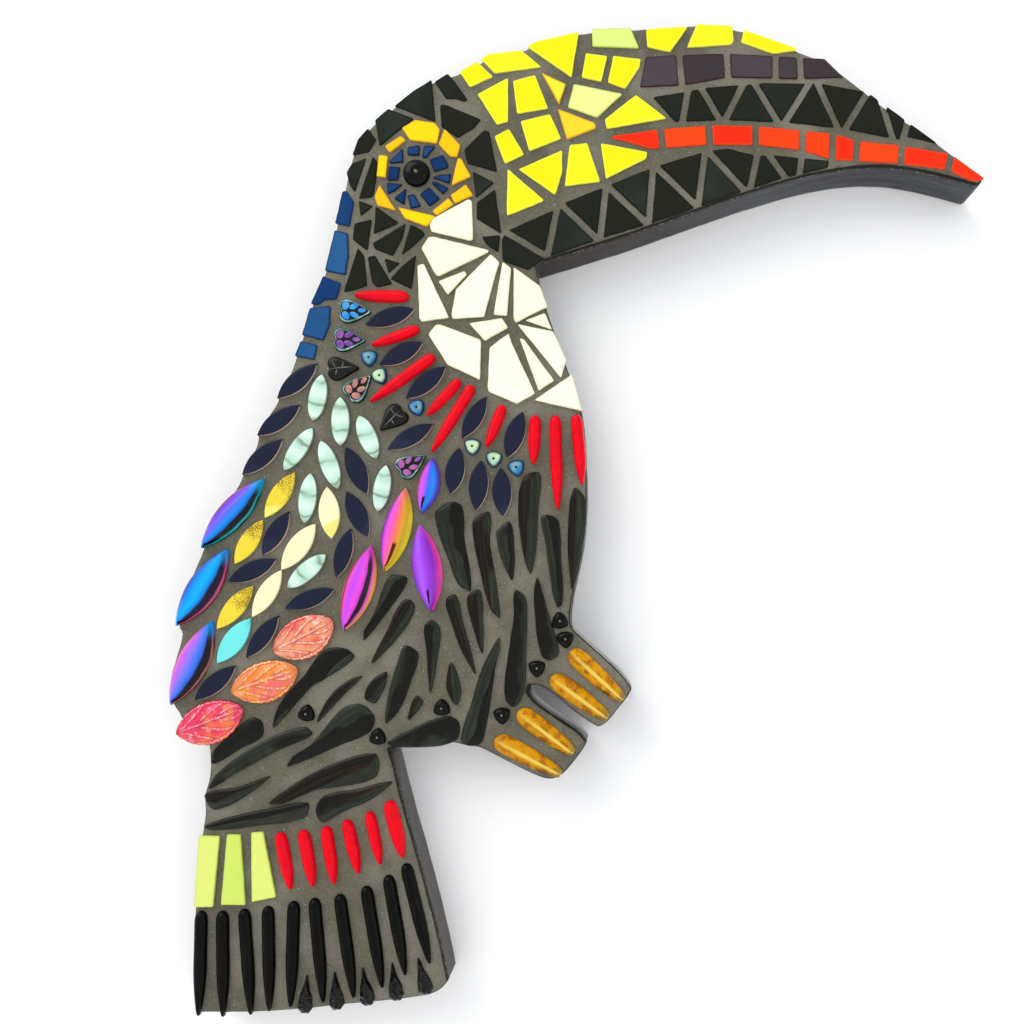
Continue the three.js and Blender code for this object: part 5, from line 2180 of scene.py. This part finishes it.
SHEETS: dict[Glass, SheetGlass] = {
    # The black glass's second colour is a painted reflection: a few pieces turn lighter grey-green.
    Glass.BLACK: SheetGlass("black", srgb(26, 29, 17), srgb(44, 52, 46), srgb(16, 18, 10), 0.12, 0.05, 0.14,
                            drift_from=0.7),
    Glass.PURPLE_GREY: SheetGlass("purple_grey", srgb(60, 52, 56), srgb(76, 68, 74), srgb(62, 26, 38),
                                  0.12, 0.06, 0.16),
    Glass.RED_ORANGE: SheetGlass("red_orange", srgb(252, 42, 0), srgb(255, 72, 8), srgb(236, 70, 24),
                                 0.14, 0.08, 0.16),
    Glass.IRIS_BLUE: SheetGlass("iris_blue", srgb(4, 50, 104), srgb(30, 72, 122), srgb(4, 20, 52),
                                0.14, 0.06, 0.14),
    Glass.NAPE_BLUE: SheetGlass("nape_blue", srgb(8, 58, 114), srgb(38, 94, 148), srgb(4, 44, 94),
                                0.14, 0.08, 0.14),
    Glass.YELLOW: SheetGlass("yellow", srgb(253, 246, 8), srgb(255, 250, 30), srgb(255, 252, 100),
                             0.14, 0.06, 0.18, edge_share=0.6),
    Glass.PALE_GREEN: SheetGlass("pale_green", srgb(232, 252, 134), srgb(248, 255, 152), srgb(196, 222, 100),
                                 0.14, 0.06, edge_share=0.6),
    Glass.AMBER: SheetGlass("amber_sheet", srgb(253, 246, 50), srgb(251, 226, 40), srgb(238, 176, 40),
                            0.14, 0.06),
    Glass.WHITE: SheetGlass("white", srgb(255, 255, 240), srgb(254, 254, 232), srgb(245, 245, 196),
                            0.14, 0.05, edge_share=0.8),
    Glass.LIME: SheetGlass("lime", srgb(216, 238, 106), srgb(232, 246, 126), srgb(190, 216, 84), 0.16, 0.06,
                           edge_share=0.6),
}
EYE_RING = SheetGlass("eye_ring", srgb(254, 228, 0), srgb(254, 206, 4), srgb(244, 184, 36), 0.14, 0.06, 0.18)
EYE_RING_REACH = 27.0

# Each foiled petal's bevel colour is a painted reflection on its lower right bevels.
PETALS: dict[Glass, OpalGlass | FoiledPetal] = {
    Glass.NAVY: FoiledPetal("navy_petal", srgb(27, 32, 55), srgb(38, 43, 66), srgb(31, 35, 56), 0.0,
                            srgb(226, 198, 172), 0.75),
    Glass.OPAL: OpalGlass(),
    Glass.GOLD_SPECKLED: FoiledPetal("gold_petal", srgb(252, 226, 66), srgb(255, 246, 120),
                                     srgb(136, 104, 34), 0.34, srgb(235, 220, 110), 0.4),
    Glass.CREAM: FoiledPetal("cream_petal", srgb(255, 252, 204), srgb(250, 242, 134),
                             srgb(250, 240, 150), 0.1, srgb(240, 235, 160), 0.4),
    Glass.CYAN: FoiledPetal("cyan_petal", srgb(120, 242, 240), srgb(166, 252, 246), srgb(50, 150, 140), 0.18,
                            srgb(90, 200, 200), 0.5),
}

# The dark stops in the jewels' runs are a painted dark reflection band.
DARK_REFLECTION_BAND = (8, 6, 20)
JEWEL_FINISHES: tuple[Iridescent, ...] = (
    Iridescent("jewel_violet_blue", (
        (0.0, 235, 130, 170), (0.06, 110, 24, 80), (0.14, 130, 60, 235), (0.42, 96, 110, 255),
        (0.62, 0, 150, 255), (0.72, 0, 120, 220), (0.78, *DARK_REFLECTION_BAND), (0.92, *DARK_REFLECTION_BAND),
        (0.97, 0, 190, 190), (1.0, 10, 60, 70)), srgb(0, 170, 230)),
    Iridescent("jewel_azure", (
        (0.0, 10, 24, 80), (0.08, 0, 70, 190), (0.3, 0, 150, 252), (0.55, 0, 188, 255),
        (0.7, 0, 140, 245), (0.77, 24, 6, 46), (0.92, 24, 6, 46), (0.97, 220, 90, 130),
        (1.0, 120, 30, 70)), srgb(30, 150, 240)),
    Iridescent("jewel_lilac_blue", (
        (0.0, 120, 20, 60), (0.06, 235, 110, 190), (0.2, 198, 100, 245), (0.4, 160, 120, 255),
        (0.62, 76, 130, 255), (0.72, 50, 110, 240), (0.78, *DARK_REFLECTION_BAND), (0.93, *DARK_REFLECTION_BAND),
        (0.98, 200, 120, 110), (1.0, 90, 40, 50)), srgb(0, 150, 250)),
    Iridescent("jewel_magenta", (
        (0.0, 240, 140, 80), (0.07, 130, 24, 90), (0.14, 250, 86, 196), (0.36, 202, 76, 255),
        (0.6, 246, 84, 226), (0.68, 230, 60, 220), (0.72, 26, 4, 36), (0.84, 26, 4, 36),
        (0.89, 240, 90, 190), (1.0, 250, 170, 40)), srgb(226, 80, 190)),
    Iridescent("jewel_sunset", (
        (0.0, 110, 20, 120), (0.08, 190, 60, 235), (0.24, 246, 88, 226), (0.46, 252, 100, 170),
        (0.62, 255, 132, 90), (0.74, 240, 170, 40), (0.86, 214, 178, 10), (1.0, 250, 236, 60)),
        srgb(250, 140, 120), (0.2, 0.42, 0.62), srgb(70, 30, 8)),
    Iridescent("jewel_violet_sky", (
        (0.0, 250, 150, 90), (0.07, 130, 40, 110), (0.16, 232, 96, 236), (0.45, 190, 90, 252),
        (0.6, 60, 110, 255), (0.78, 0, 150, 255), (0.92, 70, 80, 230), (1.0, 120, 60, 180)),
        srgb(110, 70, 230), (-0.1, 0.16, 0.68)),
    Iridescent("jewel_purple", (
        (0.0, 150, 60, 210), (0.1, 160, 70, 240), (0.35, 180, 94, 255), (0.55, 166, 66, 236),
        (0.78, 140, 44, 200), (0.92, 226, 50, 170), (1.0, 250, 90, 170)),
        srgb(200, 90, 220), (-0.06, 0.12, 0.72)),
)

# In each leaf the third colour is a painted glitter highlight and the fourth a painted shade at the foot of
# the ridges.
LEAF_FINISHES: tuple[PressedGlass, ...] = (
    PressedGlass("leaf_salmon", srgb(240, 88, 66), srgb(252, 158, 112), srgb(255, 226, 206),
                 srgb(190, 30, 40), 0.36),
    PressedGlass("leaf_orange", srgb(250, 140, 36), srgb(246, 108, 104), srgb(255, 226, 170),
                 srgb(206, 84, 20), 0.46),
    PressedGlass("leaf_pink", srgb(244, 36, 92), srgb(252, 116, 50), srgb(255, 196, 206),
                 srgb(190, 6, 46), 0.46),
)

JET = Polished("jet", srgb(4, 4, 3), srgb(14, 18, 17), 160.0, 0.4, 0.2, 0.05, 0.06)
CORAL = Polished("coral_red", srgb(250, 2, 28), srgb(206, 6, 34), 260.0, 0.55, 0.4, 0.05, 0.07)
BEAD_BLACK = Polished("bead_black", srgb(5, 5, 4), srgb(18, 22, 21), 200.0, 0.4, 0.14, 0.12, 0.07)
CRUMPLED_BLACK = Polished("crumpled_black", srgb(2, 2, 1), srgb(56, 56, 48), 560.0, 0.08, 0.14, 0.12, 0.16)
PALE_PLUG = Polished("grout_plug", srgb(134, 132, 122), srgb(92, 90, 82), 900.0, 0.5, 0.7, 0.0)
BROWN_HOLE = Polished("bead_hole", srgb(44, 26, 14), srgb(20, 12, 8), 900.0, 0.5, 0.7, 0.0)
CERAMIC = BeadGlaze("bead_glaze", srgb(24, 128, 186), srgb(206, 240, 186), srgb(4, 58, 98))
LEAF_BODY = Polished("leaf_bead_body", srgb(10, 10, 9), srgb(30, 32, 32), 500.0, 0.5, 0.3, 0.12, 0.14)
LEAF_RIM = Polished("leaf_bead_rim", srgb(54, 146, 134), srgb(190, 230, 222), 420.0, 0.9, 0.2, 0.3)
LEAF_VEIN = Polished("leaf_bead_vein", srgb(112, 114, 102), srgb(60, 60, 54), 600.0, 0.7, 0.4, 0.2)
LOBES: tuple[Polished | None, ...] = (
    Polished("lobe_blue", srgb(30, 140, 226), srgb(110, 200, 236), 260.0, 0.6),
    Polished("lobe_purple", srgb(116, 66, 160), srgb(206, 130, 206), 300.0, 0.8),
    None,
    Polished("lobe_rose", srgb(178, 112, 136), srgb(216, 160, 86), 300.0, 0.9),
    None,
    Polished("lobe_mauve", srgb(186, 100, 166), srgb(120, 84, 170), 300.0, 0.9),
)


def main() -> None:
    """Builds the panel piece by piece, then the stage."""
    logging.basicConfig(level=logging.INFO, format="%(name)s %(message)s")
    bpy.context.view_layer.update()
    tiles = {kind: patch_rims("grout_bed", kind.value, 1) for kind in Glass}
    raised = [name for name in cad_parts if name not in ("grout_bed", "backing_board")]
    set_outlines = [outline for outlines in tiles.values() for outline in outlines]
    set_outlines += [footprint(name) for name in raised]
    log.info("%d flat tesserae and %d raised pieces", sum(len(t) for t in tiles.values()), len(raised))

    Board().build()
    grout = GroutBed(set_outlines=set_outlines).build()
    scatter = GrainScatter()
    sparkle = Polished("sparkle", srgb(222, 222, 212), srgb(255, 255, 250), 900.0, 0.5, 0.3, 0.3)
    sand = Polished("sand", srgb(132, 129, 115), srgb(104, 101, 88), 90.0, 0.9, 0.7, 0.0)
    scatter.strew("glints", grout, 16000.0, 0.2, 3, sparkle.material())
    scatter.strew("sand_grains", grout, 40000.0, 0.2, 11, sand.material())

    eye = footprint("pupil").mean(0)
    beak_yellow = [t for t in tiles[Glass.YELLOW] if np.linalg.norm(t.mean(0) - eye) > EYE_RING_REACH]
    ring = [t for t in tiles[Glass.YELLOW] if np.linalg.norm(t.mean(0) - eye) <= EYE_RING_REACH]
    NippedGlass(Glass.ORANGE, EYE_RING).build(ring + tiles[Glass.ORANGE])
    for kind, finish in SHEETS.items():
        NippedGlass(kind, finish).build(beak_yellow if kind is Glass.YELLOW else tiles[kind])
    Shards(ChippedGlass()).build(tiles[Glass.SHARD])
    for kind, petal_finish in PETALS.items():
        is_opal = kind is Glass.OPAL
        Petals(kind, petal_finish, 0.4 if is_opal else 0.12, 0.22 if is_opal else 0.0).build(tiles[kind])
    ceramic = HoledBeads("ceramic_beads", CERAMIC, BROWN_HOLE, 1.7, 0.55, 0.7)
    ceramic.build(tiles[Glass.BEAD_CERAMIC], ["grout_bed"])

    Jewels(JEWEL_FINISHES).build()
    CrystalLeaves(LEAF_FINISHES).build()
    Rods("red_spikes", ("breast_spike", "tail_spike"), CORAL, "coral", 3.0).build()
    Rods("black_daggers", ("tail_dagger",), JET, "jet", 2.8).build()
    Rods("amber_toes", ("amber_toe",), CrackledAmber(), "amber", 3.6, True).build()
    black = numbered("black_bead")
    beads = HoledBeads("black_beads", BEAD_BLACK, PALE_PLUG, 2.3, 0.5, 0.93, "jet")
    beads.build([footprint(node) for node in black], black)
    pupil = HoledBeads("pupil_bead", BEAD_BLACK, PALE_PLUG, 3.4, 0.7, 0.92, "jet")
    pupil.build([footprint("pupil")], ["pupil"])
    LeafBeads(LOBES, LEAF_BODY, LEAF_RIM, LEAF_VEIN).build()
    TailBeads(CRUMPLED_BLACK).build()
    Studio().build()


if __name__ == "__main__":
    main()
